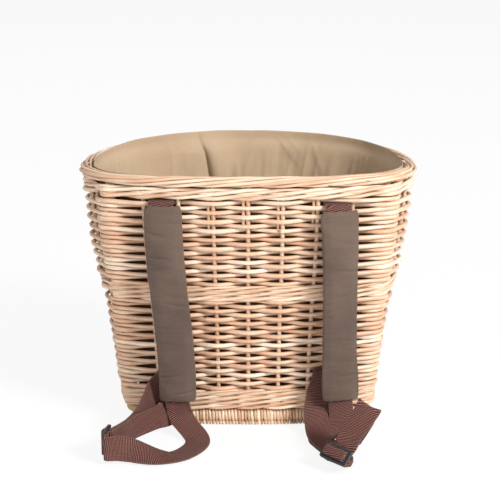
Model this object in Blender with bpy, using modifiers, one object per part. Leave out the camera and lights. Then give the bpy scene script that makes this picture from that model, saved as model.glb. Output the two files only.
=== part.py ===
"""Willow pack basket with a cloth liner and two webbing shoulder straps.

The basket is D-shaped in plan: a nearly flat back panel (towards -Y), which the straps hang on, and
a round front. Upright stakes stand on a woven base, weavers go in front of and behind them in turn,
and the stakes' own ends are rolled down into the border. Lengths are in metres, +Z is up, and the
origin is at the middle of the base, on the floor.
"""

import math
from dataclasses import dataclass

import bmesh
import bpy
import numpy as np
from mathutils import Matrix, Vector

OBJECT_NAME = "pack_basket"

# Gap kept between solids that touch on the real basket
TOUCH_GAP = 0.0004

# Plan of the wall's middle surface, at the floor and at the rim
FOOT_HALF_WIDTH = 0.1500
TOP_HALF_WIDTH = 0.1945
FOOT_BACK_DEPTH = 0.0875
TOP_BACK_DEPTH = 0.1265
FOOT_FRONT_DEPTH = 0.0875
TOP_FRONT_DEPTH = 0.1265
WIDEST_SETBACK = 0.0480
FOOT_POST_SHARE = 0.96667
TOP_POST_SHARE = 0.85861
BACK_ROUNDNESS = 2.7
FRONT_ROUNDNESS = 2.15

# Height of the wall, and how its flare grows with height: (height share, flare share)
WALL_HEIGHT = 0.3120
FLARE_SHARES = ((0.0, 0.0), (0.20, 0.11), (0.46, 0.36), (0.61, 0.60), (0.77, 0.79), (1.0, 0.97))

# Base: a hoop and cross sticks, with one long flat weaver wound round them
HOOP_RADIUS = 0.0055
HOOP_BENDS = 9
CROSS_STICK_RADIUS = 0.0048
CROSS_STICKS = 4
BASE_WEAVER_WIDTH = 0.0064
BASE_WEAVER_THICKNESS = 0.0038
BASE_WEAVER_GAP = 0.0006
BASE_EDGE_OVERHANG = 0.0075
BASE_WOUND_SHARE = 0.82

# Uprights
BACK_STAKES = 7
FRONT_STAKES = 16
STAKE_RADIUS = 0.0025
POST_RADIUS = 0.0055
POST_INSET = 0.0033

# Weavers: radius of the rods, and clear gap between one row and the next
WALE_RADIUS = 0.0026
RANDING_RADIUS = 0.0024
ROW_GAP = 0.00094
TIGHT_ROW_GAP = 0.00045

# Border: each stake's end is bent over and runs on past its neighbours
BORDER_ROD_RADIUS = 0.00165
BORDER_RISE = 0.0012
# Cross-section of the roll in rod diameters with their gap: (outward, up) at each spacing passed
BORDER_ROLL_SHARES = ((0.0, 0.0), (1.6, 0.25), (2.5, 1.35), (1.5, 2.2), (0.3, 2.45), (-0.8, 1.9))

# Cloth liner: a wall with a doubled hem at its top, and a bottom
LINER_THICKNESS = 0.0012
LINER_HEM_HEIGHT = 0.0140
LINER_BACK_RISE = -0.0010
LINER_FRONT_RISE = 0.0060
LINER_FOLD_DEPTH = 0.0030

# Straps: one length of webbing each side, with a padded sleeve and a three-bar slider
WEBBING_WIDTH = 0.0300
WEBBING_THICKNESS = 0.0020
PLY_GAP = 0.00045
SLOT_SIDE_GAP = 0.0010
STRAP_TAIL = 0.0280
STRAP_BEND = 0.0030
UPPER_ANCHOR_ROW = 5
PAD_WIDTH = 0.0460
PAD_THICKNESS = 0.0125
PAD_EDGE_SHARE = 0.55
PAD_HEAD_HEIGHT = 0.2870
PAD_FOOT_HEIGHT = 0.0420
PAD_HEAD_STANDOFF = 0.0035
PAD_FOOT_STANDOFF = 0.0190
LEFT_PAD_HEAD_SHIFT = 0.0010
LEFT_PAD_FOOT_SHIFT = 0.0100
RIGHT_PAD_HEAD_SHIFT = 0.0010
RIGHT_PAD_FOOT_SHIFT = 0.0165
SLIDER_BAR = 0.0032
SLIDER_SLOT = 0.0056
SLIDER_THICKNESS = 0.0034
SLIDER_SIDE_GAP = 0.0007
SLIDER_EDGE_RADIUS = 0.0006

# The webbing's way through a slider in webbing thicknesses: (along it, off its face)
RUNNING_PLY_SHARES = (
    (-6.5, -1.7), (-3.6, -1.75), (-2.85, -1.2), (-2.725, -0.25), (-2.725, 0.4), (-2.6, 2.1),
    (-1.7, 2.65), (1.7, 2.65), (2.6, 2.1), (2.725, 0.4), (2.725, -0.25), (2.85, -1.2), (3.6, -1.75),
    (5.0, -1.7),
)
SEWN_PLY_SHARES = (
    (5.0, -3.0), (4.2, -3.0), (2.6, -2.95), (1.6, -1.9), (1.5, 0.6), (1.0, 1.42), (-1.0, 1.42),
    (-1.5, 0.6), (-1.55, -0.75), (-1.3, -2.3), (0.5, -3.6), (2.7, -4.25), (5.0, -4.225),
)

# Free routes of the webbing: (x, y, z) of its middle, and the direction of its width
LEFT_LOOP_ROUTE = (
    ((-0.0820, -0.1260, 0.0220), (1.0, 0.1, 0.1)),
    ((-0.0700, -0.1360, 0.0100), (0.5, 0.8, 0.35)),
    ((-0.0610, -0.1520, 0.0034), (1.0, 0.2, 0.05)),
    ((-0.0650, -0.1760, 0.0022), (1.0, -0.2, 0.0)),
    ((-0.0850, -0.2040, 0.0030), (0.7, -0.7, -0.05)),
    ((-0.1130, -0.2140, 0.0085), (0.1, -0.9, -0.4)),
    ((-0.1360, -0.2120, 0.0140), (0.0, -0.7, -0.75)),
    ((-0.1500, -0.2150, 0.0180), (0.0, -0.35, -0.95)),
    ((-0.1580, -0.2215, 0.0202), (0.0, -0.1, -1.0)),
    ((-0.1632, -0.2250, 0.0210), (0.0, 0.0, -1.0)),
    ((-0.1668, -0.2236, 0.0214), (0.0, 0.0, -1.0)),
)
LEFT_SLIDER_SPOT = (-0.1650, -0.2040, 0.0215)
LEFT_SLIDER_ALONG = (0.25, 0.97, 0.0)
LEFT_SLIDER_ACROSS = (0.0, 0.0, -1.0)
LEFT_PLIES_ROUTE = (
    ((-0.1490, -0.1850, 0.0222), (0.0, 0.0, -1.0)),
    ((-0.1390, -0.1690, 0.0240), (0.1, 0.1, -1.0)),
)
LEFT_RUNNING_ROUTE = (
    ((-0.1310, -0.1480, 0.0300), (0.2, 0.25, -0.95)),
    ((-0.1215, -0.1215, 0.0405), (0.3, 0.3, -0.9)),
    ((-0.1130, -0.1066, 0.0498), (0.6, 0.1, -0.8)),
    ((-0.1040, -0.1040, 0.0575), (0.8, -0.1, -0.6)),
    ((-0.0970, -0.1035, 0.0670), (0.95, -0.15, -0.25)),
)
LEFT_FIXED_ROUTE = (
    ((-0.0935, -0.1010, 0.0370), (1.0, -0.1, 0.0)),
    ((-0.0940, -0.1062, 0.0268), (1.0, 0.0, -0.1)),
    ((-0.0985, -0.1178, 0.0235), (0.75, 0.2, -0.62)),
    ((-0.1080, -0.1290, 0.0240), (0.4, 0.3, -0.87)),
    ((-0.1240, -0.1490, 0.0240), (0.2, 0.25, -0.95)),
)
RIGHT_LOOP_ROUTE = (
    ((0.1135, -0.1240, 0.0270), (1.0, 0.0, 0.0)),
    ((0.1150, -0.1360, 0.0130), (1.0, -0.2, 0.0)),
    ((0.1230, -0.1530, 0.0074), (0.92, -0.4, 0.03)),
    ((0.1360, -0.1710, 0.0130), (0.83, -0.5, -0.1)),
    ((0.1430, -0.1850, 0.0330), (0.8, -0.55, -0.15)),
    ((0.1420, -0.1930, 0.0560), (0.8, -0.58, -0.12)),
    ((0.1360, -0.1990, 0.0640), (0.78, -0.6, -0.1)),
    ((0.1270, -0.2090, 0.0560), (0.76, -0.63, -0.1)),
    ((0.1140, -0.2230, 0.0390), (0.75, -0.65, -0.08)),
)
RIGHT_SLIDER_SPOT = (0.1013, -0.2415, 0.0220)
RIGHT_SLIDER_ALONG = (-0.535, -0.490, -0.688)
RIGHT_SLIDER_ACROSS = (0.745, -0.660, -0.080)
RIGHT_PLIES_ROUTE = (
    ((0.0976, -0.2437, 0.0090), (0.745, -0.66, -0.09)),
    ((0.0976, -0.2435, 0.0070), (0.745, -0.66, -0.09)),
    ((0.0983, -0.2424, 0.0054), (0.745, -0.66, -0.07)),
    ((0.0996, -0.2409, 0.0048), (0.75, -0.66, -0.03)),
    ((0.1043, -0.2355, 0.0048), (0.82, -0.57, 0.0)),
    ((0.1070, -0.2270, 0.0047), (0.94, -0.33, 0.0)),
    ((0.1078, -0.2150, 0.0047), (1.0, -0.02, 0.0)),
    ((0.1055, -0.2010, 0.0047), (0.97, 0.24, 0.0)),
    ((0.0995, -0.1840, 0.0047), (0.92, 0.39, 0.0)),
    ((0.0915, -0.1660, 0.0050), (0.93, 0.37, 0.0)),
)
RIGHT_RUNNING_ROUTE = (
    ((0.0850, -0.1480, 0.0035), (0.97, 0.24, 0.0)),
    ((0.0822, -0.1310, 0.0100), (1.0, 0.05, 0.0)),
    ((0.0830, -0.1170, 0.0210), (1.0, 0.0, 0.0)),
    ((0.0890, -0.1070, 0.0330), (1.0, 0.0, 0.0)),
    ((0.0926, -0.1015, 0.0415), (1.0, 0.06, 0.0)),
)
RIGHT_FIXED_ROUTE = (
    ((0.0937, -0.1040, 0.0690), (1.0, 0.06, 0.0)),
    ((0.0893, -0.1070, 0.0540), (1.0, 0.0, 0.0)),
    ((0.0835, -0.1115, 0.0380), (1.0, 0.0, 0.0)),
    ((0.0815, -0.1210, 0.0250), (1.0, 0.0, 0.0)),
    ((0.0820, -0.1330, 0.0150), (1.0, 0.05, 0.0)),
    ((0.0848, -0.1490, 0.0078), (0.97, 0.24, 0.0)),
)

BACK_PLACES = BACK_STAKES + 1
PLACES = BACK_STAKES + FRONT_STAKES + 2
POST_PLACES = (0, BACK_PLACES)
BASE_HEIGHT = 2 * (BASE_WEAVER_THICKNESS + HOOP_RADIUS + TOUCH_GAP)
PLY_PITCH = WEBBING_THICKNESS + PLY_GAP


def clear_scene():
    """Remove every object that the scene starts with."""
    for old in list(bpy.data.objects):
        bpy.data.objects.remove(old, do_unlink=True)


def make_collection(name):
    """Make a collection under the scene's own."""
    made = bpy.data.collections.new(name)
    bpy.context.scene.collection.children.link(made)
    return made


def make_material(name, colour, roughness, metallic=0.0):
    """Make a Principled material."""
    material = bpy.data.materials.new(name)
    material.use_nodes = True
    shader = material.node_tree.nodes["Principled BSDF"]
    shader.inputs["Base Color"].default_value = (*colour, 1.0)
    shader.inputs["Roughness"].default_value = roughness
    shader.inputs["Metallic"].default_value = metallic
    return material


def add_object(name, data, collection, material):
    """Put an object in a collection and give it its material."""
    made = bpy.data.objects.new(name, data)
    collection.objects.link(made)
    made.data.materials.append(material)
    return made


def flare_at(height):
    """Share of the flare that the wall has taken at a height."""
    heights, shares = zip(*FLARE_SHARES)
    return float(np.interp(height / WALL_HEIGHT, heights, shares))


def between(foot, top, height):
    """A plan size at a height, from its values at the foot and the rim."""
    return foot + (top - foot) * flare_at(height)


@dataclass(frozen=True)
class Plan:
    """A line round the basket at one height: a flat-backed half and a round half."""

    half_width: float
    back: float
    front: float
    post_x: float

    def half(self, y):
        """Roundness and depth of the half that a Y lies in."""
        if y < -WIDEST_SETBACK:
            return BACK_ROUNDNESS, self.back - WIDEST_SETBACK
        return FRONT_ROUNDNESS, self.front + WIDEST_SETBACK

    def back_y(self, x):
        """The back panel's Y at an X."""
        share = min(1.0, abs(x) / self.half_width)
        depth = (1 - share**BACK_ROUNDNESS) ** (1 / BACK_ROUNDNESS)
        return -WIDEST_SETBACK - (self.back - WIDEST_SETBACK) * depth

    def outward(self, x, y):
        """Unit vector square to the line, pointing away from the basket."""
        power, depth = self.half(y)
        away = y + WIDEST_SETBACK
        across = math.copysign(abs(x / self.half_width) ** (power - 1) / self.half_width, x)
        along = math.copysign(abs(away / depth) ** (power - 1) / depth, away)
        return Vector((across, along, 0.0)).normalized()

    def quarter(self, low_angle, front, samples):
        """Points of the right side, from an angle to the middle of the front or the back."""
        power, depth = self.half(self.front if front else -self.back)
        angles = np.linspace(low_angle, math.pi / 2, samples)
        x = self.half_width * np.clip(np.cos(angles), 0, 1) ** (2 / power)
        y = np.clip(np.sin(angles), 0, 1) ** (2 / power) * depth
        return np.column_stack([x, -WIDEST_SETBACK + (y if front else -y)])

    def front_line(self, samples=120):
        """Points from the right post round the front to the left post, with their distances."""
        post_angle = math.acos((self.post_x / self.half_width) ** (BACK_ROUNDNESS / 2))
        back = self.quarter(0.0, False, samples)
        behind_post = back[back[:, 0] > self.half_width * math.cos(post_angle) ** (2 / BACK_ROUNDNESS)]
        post = np.array([[self.post_x, self.back_y(self.post_x)]])
        right = np.vstack([post, behind_post[::-1], self.quarter(0.0, True, samples)[1:]])
        line = np.vstack([right, right[-2::-1] * np.array([-1.0, 1.0])])
        steps = np.linalg.norm(np.diff(line, axis=0), axis=1)
        return line, np.concatenate([[0.0], np.cumsum(steps)])

    def side(self, offset, front, samples=160):
        """The right side's X and Y in the front or back half, moved outward by an offset."""
        points = []
        for x, y in self.quarter(0.0, front, samples):
            normal = self.outward(x, y)
            points.append((x + normal.x * offset, y + normal.y * offset))
        return np.array(points)


def plan_at(height):
    """The wall's plan at a height."""
    return Plan(
        between(FOOT_HALF_WIDTH, TOP_HALF_WIDTH, height),
        between(FOOT_BACK_DEPTH, TOP_BACK_DEPTH, height),
        between(FOOT_FRONT_DEPTH, TOP_FRONT_DEPTH, height),
        between(FOOT_HALF_WIDTH * FOOT_POST_SHARE, TOP_HALF_WIDTH * TOP_POST_SHARE, height),
    )


def strap_gap_at(plan):
    """Spacing of the two stakes that a strap passes between: (middle's X, half the spacing)."""
    needed = WEBBING_WIDTH / 2 + STAKE_RADIUS + SLOT_SIDE_GAP
    half_spacing = plan.post_x / BACK_PLACES
    return (BACK_PLACES - 3) * half_spacing, max(half_spacing, needed)


def back_place_x(plan, place):
    """X of a place on the back panel, from the left post (0) to the right post."""
    middle, half = strap_gap_at(plan)
    knots = (0, 1, 2, BACK_PLACES - 2, BACK_PLACES - 1, BACK_PLACES)
    values = (-plan.post_x, -middle - half, -middle + half, middle - half, middle + half, plan.post_x)
    return float(np.interp(place, knots, values))


def wall_spot(place, height):
    """A point of the wall's middle surface at a place, with its outward direction."""
    plan = plan_at(height)
    place = place % PLACES
    if place <= BACK_PLACES:
        x = back_place_x(plan, place)
        y = plan.back_y(x)
    else:
        line, reach = plan.front_line()
        along = reach[-1] * (place - BACK_PLACES) / (PLACES - BACK_PLACES)
        x = float(np.interp(along, reach, line[:, 0]))
        y = float(np.interp(along, reach, line[:, 1]))
    return Vector((x, y, height)), plan.outward(x, y)


def wall_point(place, height, offset=0.0):
    """A point at a place round the wall, moved outward from the wall's middle surface."""
    spot, outward = wall_spot(place, height)
    return spot + outward * offset


def lean_at(place, clear):
    """Angle between a weaver's run and the wall, where it goes past the upright at a place."""
    here, outward = wall_spot(place, 0.0)
    after, turned = wall_spot(place + 1, 0.0)
    return 2 * clear / (after - here).length + outward.angle(turned) / 2


def upright_clearances(radius):
    """Distance of a weaver's middle from the wall's middle surface, at each upright."""
    offsets = []
    for place in range(PLACES):
        upright, inset = STAKE_RADIUS, 0.0
        if place in POST_PLACES:
            upright, inset = POST_RADIUS, POST_INSET
        clear = upright + radius + TOUCH_GAP
        lean = max(lean_at(place, clear), lean_at(place - 1, clear))
        offsets.append(clear / math.cos(lean) - inset)
    return offsets


@dataclass(frozen=True)
class Zone:
    """A band of rows woven with one continuous rod that climbs as it goes round."""

    name: str
    rows: int
    radius: float
    pattern: int
    start: float

    @property
    def pitch(self):
        """Height from one row to the next."""
        return 2 * self.radius + ROW_GAP

    def row_height(self, row, place):
        """Height of a row at a place."""
        return self.start + self.pitch * (row + place / PLACES)


def stack_zones():
    """The five bands of the wall, each standing on the one below."""
    bands = (
        ("bottom_wale", 4, WALE_RADIUS, 3),
        ("lower_randing", 21, RANDING_RADIUS, 2),
        ("middle_wale", 3, WALE_RADIUS, 3),
        ("upper_randing", 19, RANDING_RADIUS, 2),
        ("top_wale", 2, WALE_RADIUS, 3),
    )
    zones = []
    top = BASE_HEIGHT + TOUCH_GAP
    for name, rows, radius, pattern in bands:
        zone = Zone(name, rows, radius, pattern, top + radius)
        zones.append(zone)
        top = zone.row_height(rows - 1, 0) + radius + ROW_GAP
    return zones


ZONES = stack_zones()
BORDER_START = ZONES[-1].row_height(ZONES[-1].rows, 0) + WALE_RADIUS + TOUCH_GAP
BORDER_ROD_PITCH = 2 * BORDER_ROD_RADIUS + TOUCH_GAP
BORDER_UP_SHARE = max(up for _, up in BORDER_ROLL_SHARES)
BORDER_TOP = BORDER_START + BORDER_RISE + BORDER_ROD_PITCH * BORDER_UP_SHARE + BORDER_ROD_RADIUS

# How far the wall's woven surface reaches each way, and where the webbing lies behind it
WEAVE_REACH = max(upright_clearances(RANDING_RADIUS)[1:BACK_PLACES]) + RANDING_RADIUS
WALE_REACH = max(upright_clearances(WALE_RADIUS)[1:BACK_PLACES]) + WALE_RADIUS
INSIDE_OFFSET = WEAVE_REACH + TOUCH_GAP + WEBBING_THICKNESS / 2
OUTSIDE_OFFSET = WALE_REACH + TOUCH_GAP + WEBBING_THICKNESS / 2
INNER_REACH = max(upright_clearances(WALE_RADIUS)[BACK_PLACES + 1:]) + WALE_RADIUS
LINER_OFFSET = max(INSIDE_OFFSET + WEBBING_THICKNESS / 2, INNER_REACH, POST_INSET + POST_RADIUS) + TOUCH_GAP


def slot_below(zone_index, row, place):
    """Height midway in the gap between a row and the row under it."""
    zone = ZONES[zone_index]
    under, under_row = zone, row - 1
    if row == 0:
        under = ZONES[zone_index - 1]
        under_row = under.rows - 1
    upper_face = zone.row_height(row, place) - zone.radius
    lower_face = under.row_height(under_row, place) + under.radius
    return (upper_face + lower_face) / 2


@dataclass(frozen=True)
class Slot:
    """A place where webbing passes between two rows, in the gap after one stake."""

    place: int
    height: float


def strap_slots(first_place):
    """Head slot, upper anchor slot and lower anchor slot of the strap at a gap."""
    middle = first_place + 0.5
    return (
        Slot(first_place, slot_below(4, 0, middle)),
        Slot(first_place, slot_below(1, UPPER_ANCHOR_ROW, middle)),
        Slot(first_place, slot_below(1, 0, middle)),
    )


LEFT_SLOTS = strap_slots(1)
RIGHT_SLOTS = strap_slots(BACK_PLACES - 2)


def parting(place, height):
    """How far a row is pushed up or down at a place by the webbing that passes beside it."""
    push_needed = (WEBBING_THICKNESS + 2 * TOUCH_GAP - ROW_GAP) / 2
    lost_per_row = ROW_GAP - TIGHT_ROW_GAP
    moved = 0.0
    for slot in LEFT_SLOTS + RIGHT_SLOTS:
        if place not in (slot.place, slot.place + 1):
            continue
        away = height - slot.height
        rows_off = round((abs(away) - RANDING_RADIUS) / (2 * RANDING_RADIUS + ROW_GAP))
        push = max(0.0, push_needed - rows_off * lost_per_row)
        moved += math.copysign(push, away)
    return moved


def rod(name, points, radii, collection, material, sides=4, closed=False, level=False):
    """A rod along points, as a curve with a round section and filled ends."""
    curve = bpy.data.curves.new(name, "CURVE")
    curve.dimensions = "3D"
    curve.bevel_depth = 1.0
    curve.bevel_resolution = (sides - 4) // 2
    curve.use_fill_caps = not closed
    curve.twist_mode = "Z_UP" if level else "MINIMUM"
    spline = curve.splines.new("POLY")
    spline.points.add(len(points) - 1)
    spline.use_cyclic_u = closed
    for point, spot, radius in zip(spline.points, points, radii):
        point.co = (*spot, 1.0)
        point.radius = radius
    return add_object(name, curve, collection, material)


def loft(name, sections, collection, material, closed=False):
    """A skin through matching sections, closed on itself or capped at both ends."""
    shape = bmesh.new()
    rings = [[shape.verts.new(spot) for spot in section] for section in sections]
    pairs = list(zip(rings, rings[1:]))
    if closed:
        pairs.append((rings[-1], rings[0]))
    for near, far in pairs:
        for index in range(len(near)):
            shape.faces.new((near[index - 1], near[index], far[index], far[index - 1]))
    if not closed:
        shape.faces.new(rings[0])
        shape.faces.new(rings[-1])
    bmesh.ops.recalc_face_normals(shape, faces=shape.faces)
    mesh = bpy.data.meshes.new(name)
    shape.to_mesh(mesh)
    shape.free()
    return add_object(name, mesh, collection, material)


@dataclass(frozen=True)
class Station:
    """A point along a band with the direction of its width; a free one is smoothed."""

    spot: Vector
    across: Vector
    free: bool = False


def frames(stations):
    """Width and face direction at each station, and how much a bend stretches the section."""
    last = len(stations) - 1
    result = []
    for index, station in enumerate(stations):
        before = stations[max(index - 1, 0)].spot
        after = stations[min(index + 1, last)].spot
        out = (after - station.spot if index < last else station.spot - before).normalized()
        into = (station.spot - before if index else after - station.spot).normalized()
        along = (into + out).normalized()
        side = (station.across - along * station.across.dot(along)).normalized()
        result.append((side, side.cross(along), 1 / along.dot(out)))
    return result


def band(name, stations, width, thickness, collection, material):
    """A flat band of one width and thickness along stations."""
    sections = []
    for station, (side, face, stretch) in zip(stations, frames(stations)):
        half = side * (width / 2)
        rise = face * (thickness / 2 * stretch)
        corners = (half + rise, rise - half, -half - rise, half - rise)
        sections.append([station.spot + corner for corner in corners])
    return loft(name, sections, collection, material)


def halfway(before, start, end, after):
    """Middle of the smooth run between two vectors, given the ones on either side."""
    return (start + end) * (9 / 16) - (before + after) * (1 / 16)


def smoothed(stations):
    """The stations, with one more in each span that touches a free one."""
    last = len(stations) - 1
    result = [stations[0]]
    for index in range(1, last + 1):
        start, end = stations[index - 1], stations[index]
        if start.free or end.free:
            before, after = stations[max(index - 2, 0)], stations[min(index + 1, last)]
            spot = halfway(before.spot, start.spot, end.spot, after.spot)
            across = halfway(before.across, start.across, end.across, after.across)
            result.append(Station(spot, across.normalized(), True))
        result.append(end)
    return result


def shifted(stations, distance):
    """The stations moved off their faces by a distance."""
    if len(stations) < 2:
        return stations
    return [
        Station(station.spot + face * distance, station.across, station.free)
        for station, (_, face, _) in zip(stations, frames(stations))
    ]


def free_stations(route):
    """Stations of a free route."""
    return [Station(Vector(spot), Vector(across).normalized(), True) for spot, across in route]


def stakes_passed(step):
    """Number of ordinary stakes that a weaver has met after a number of places."""
    turns, place = divmod(step, PLACES)
    met = place - 1 if place < BACK_PLACES else place - 2
    return turns * (BACK_STAKES + FRONT_STAKES) + met


def weave_zone(zone, collection, material):
    """Weave one band: in front of the posts, and in front of and behind the stakes by its pattern."""
    clearances = upright_clearances(zone.radius)
    points = []
    for step in range(zone.rows * PLACES - 1):
        place = step % PLACES
        behind = place not in POST_PLACES and stakes_passed(step) % zone.pattern == zone.pattern - 1
        height = zone.start + zone.pitch * step / PLACES
        height += parting(place, height)
        offset = clearances[place]
        points.append(wall_point(place, height, -offset if behind else offset))
    rod(zone.name, points, [zone.radius] * len(points), collection, material, level=True)


def border_point(place, passed):
    """A point of the rolled border, a number of spacings after the stake that it comes from."""
    index = min(int(passed), len(BORDER_ROLL_SHARES) - 2)
    part = passed - index
    out_share, up_share = (
        a + (b - a) * part for a, b in zip(BORDER_ROLL_SHARES[index], BORDER_ROLL_SHARES[index + 1])
    )
    height = BORDER_START + BORDER_RISE + BORDER_ROD_PITCH * up_share
    return wall_point(place, height, BORDER_ROD_PITCH * out_share)


def border_tail(place):
    """The bent end of a stake, past the stakes after it and the post if it meets one."""
    points = []
    passed = 0
    here = place
    while passed < len(BORDER_ROLL_SHARES) - 1:
        here += 1
        if here % PLACES in POST_PLACES:
            points.append(border_point(here, passed + 0.5))
            continue
        passed += 1
        points.append(border_point(here, passed))
    return points


def upright_heights():
    """Heights at which an upright's axis bends with the wall, from the base up."""
    return [BASE_HEIGHT + TOUCH_GAP] + [share * WALL_HEIGHT for share, _ in FLARE_SHARES[1:-1]]


def make_stake(name, place, collection, material):
    """A stake: upright from the base to the rim, then bent over into the border."""
    points = [wall_point(place, height) for height in upright_heights()]
    points.append(wall_point(place, BORDER_START - STAKE_RADIUS))
    points.append(border_point(place, 0.0))
    upright = len(points)
    points += border_tail(place)
    radii = [STAKE_RADIUS] * (upright - 1)
    radii += [BORDER_ROD_RADIUS] * (len(points) - upright + 1)
    rod(name, points, radii, collection, material)


def make_post(name, place, collection, material):
    """A thick corner post, which every weaver passes on the outside."""
    heights = upright_heights() + [BORDER_START - TOUCH_GAP]
    points = [wall_point(place, height, -POST_INSET) for height in heights]
    rod(name, points, [POST_RADIUS] * len(points), collection, material, sides=8)


def hoop_plan():
    """Plan of the middle of the base's hoop."""
    plan = plan_at(0.0)
    grown = BASE_EDGE_OVERHANG - BASE_WEAVER_THICKNESS - TOUCH_GAP - HOOP_RADIUS
    return Plan(plan.half_width + grown, plan.back + grown, plan.front + grown, plan.post_x)


def make_hoop(collection, material):
    """The base's bent outer stick."""
    plan = hoop_plan()
    front = plan.side(0.0, True, HOOP_BENDS)
    back = plan.side(0.0, False, HOOP_BENDS)
    right = np.vstack([back[:0:-1], front])
    left = right[-2:0:-1] * np.array([-1.0, 1.0])
    points = [Vector((x, y, BASE_HEIGHT / 2)) for x, y in np.vstack([right, left])]
    rod("base_hoop", points, [HOOP_RADIUS] * len(points), collection, material, 6, True, True)


def inner_half_length(y):
    """Half the clear length between the hoop's two sides, at a Y."""
    line = hoop_plan().side(-HOOP_RADIUS, y > -WIDEST_SETBACK, HOOP_BENDS)
    edges = (y - CROSS_STICK_RADIUS, y + CROSS_STICK_RADIUS)
    return min(float(np.interp(-abs(edge + WIDEST_SETBACK), *facing(line))) for edge in edges)


def facing(line):
    """Distances from the widest Y, negated to rise, and the X there."""
    away = -np.abs(line[::-1, 1] + WIDEST_SETBACK)
    return away, line[::-1, 0]


def make_cross_sticks(collection, material):
    """The base's straight sticks, from side to side inside the hoop."""
    plan = hoop_plan()
    depth = plan.back + plan.front
    for number in range(1, CROSS_STICKS + 1):
        y = -plan.back + depth * number / (CROSS_STICKS + 1)
        half = inner_half_length(y) - TOUCH_GAP
        points = [Vector((side * half, y, BASE_HEIGHT / 2)) for side in (-1, 1)]
        rod(f"base_stick_{number}", points, [CROSS_STICK_RADIUS] * 2, collection, material, 8)


def wound_edge(x, front):
    """Y of the base weaver's middle where it turns round the hoop, at an X."""
    line = hoop_plan().side(HOOP_RADIUS + TOUCH_GAP + BASE_WEAVER_THICKNESS / 2, front)
    nearest = max(0.0, abs(x) - BASE_WEAVER_WIDTH / 2)
    return float(np.interp(nearest, line[::-1, 0], line[::-1, 1]))


def make_base_weave(collection, material):
    """One long flat weaver, wound round the base's hoop and sticks from one side to the other."""
    pitch = BASE_WEAVER_WIDTH + BASE_WEAVER_GAP
    half_count = int(FOOT_HALF_WIDTH * BASE_WOUND_SHARE / pitch)
    low = BASE_WEAVER_THICKNESS / 2
    high = BASE_HEIGHT - low
    spots = []
    for number in range(-half_count, half_count + 1):
        x = number * pitch
        front, back = wound_edge(x, True), wound_edge(x, False)
        next_front = wound_edge(x + pitch, True)
        spots += [(x, front, low), (x, back, low), (x, back, high), (x + pitch, next_front, high)]
    spots.pop()
    across = Vector((1.0, 0.0, 0.0))
    stations = [Station(Vector(spot), across) for spot in spots]
    band("base_weave", stations, BASE_WEAVER_WIDTH, BASE_WEAVER_THICKNESS, collection, material)


def liner_section(column, columns):
    """Closed section of the liner's wall at a column: up its outside, over the hem and down."""
    place = column * PLACES / columns
    spot, _ = wall_spot(place, WALL_HEIGHT)
    depth = TOP_BACK_DEPTH + TOP_FRONT_DEPTH
    share = (spot.y + TOP_BACK_DEPTH) / depth
    top = BORDER_TOP + LINER_BACK_RISE + (LINER_FRONT_RISE - LINER_BACK_RISE) * share
    heights = upright_heights() + [top - LINER_HEM_HEIGHT, top]
    fold = LINER_FOLD_DEPTH * (column % 4 == 1)
    outer = []
    inner = []
    for index, height in enumerate(heights):
        depth_here = fold if 0 < index < len(heights) - 2 else fold / 2
        offset = -LINER_OFFSET - depth_here
        outer.append(wall_point(place, height, offset))
        inner.append(wall_point(place, height, offset - LINER_THICKNESS))
    hem = -LINER_OFFSET - fold / 2 - 2 * LINER_THICKNESS
    turned = [wall_point(place, top, hem), wall_point(place, top - LINER_HEM_HEIGHT, hem)]
    inner.pop()
    return outer + turned + inner[::-1]


def make_liner(collection, material):
    """The liner's wall, with its main folds and hem, and its flat bottom."""
    columns = 2 * PLACES
    sections = [liner_section(column, columns) for column in range(columns)]
    loft("liner_wall", sections, collection, material, closed=True)
    inset = LINER_OFFSET + LINER_THICKNESS + LINER_FOLD_DEPTH + TOUCH_GAP
    height = BASE_HEIGHT + TOUCH_GAP
    curve = bpy.data.curves.new("liner_bottom", "CURVE")
    curve.dimensions = "2D"
    curve.fill_mode = "BOTH"
    curve.extrude = LINER_THICKNESS / 2
    spline = curve.splines.new("POLY")
    spline.points.add(columns - 1)
    spline.use_cyclic_u = True
    for column, point in enumerate(spline.points):
        spot = wall_point(column * PLACES / columns, height, -inset)
        point.co = (spot.x, spot.y, 0.0, 1.0)
    bottom = add_object("liner_bottom", curve, collection, material)
    bottom.location = (0.0, 0.0, height + LINER_THICKNESS / 2)


def slot_station(slot, offset, rise=0.0):
    """Station of the webbing at a slot, off the wall's middle surface and above the slot."""
    spot, outward = wall_spot(slot.place + 0.5, slot.height + rise)
    return Station(spot + outward * offset, Vector((-outward.y, outward.x, 0.0)))


def pad_end(slot, height, standoff, shift):
    """Middle of a pad's section where its back lies a standoff off the woven wall."""
    spot, outward = wall_spot(slot.place + 0.5, height)
    along_wall = Vector((-outward.y, outward.x, 0.0))
    return spot + outward * (WEAVE_REACH + standoff + PAD_THICKNESS / 2) + along_wall * shift


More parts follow.
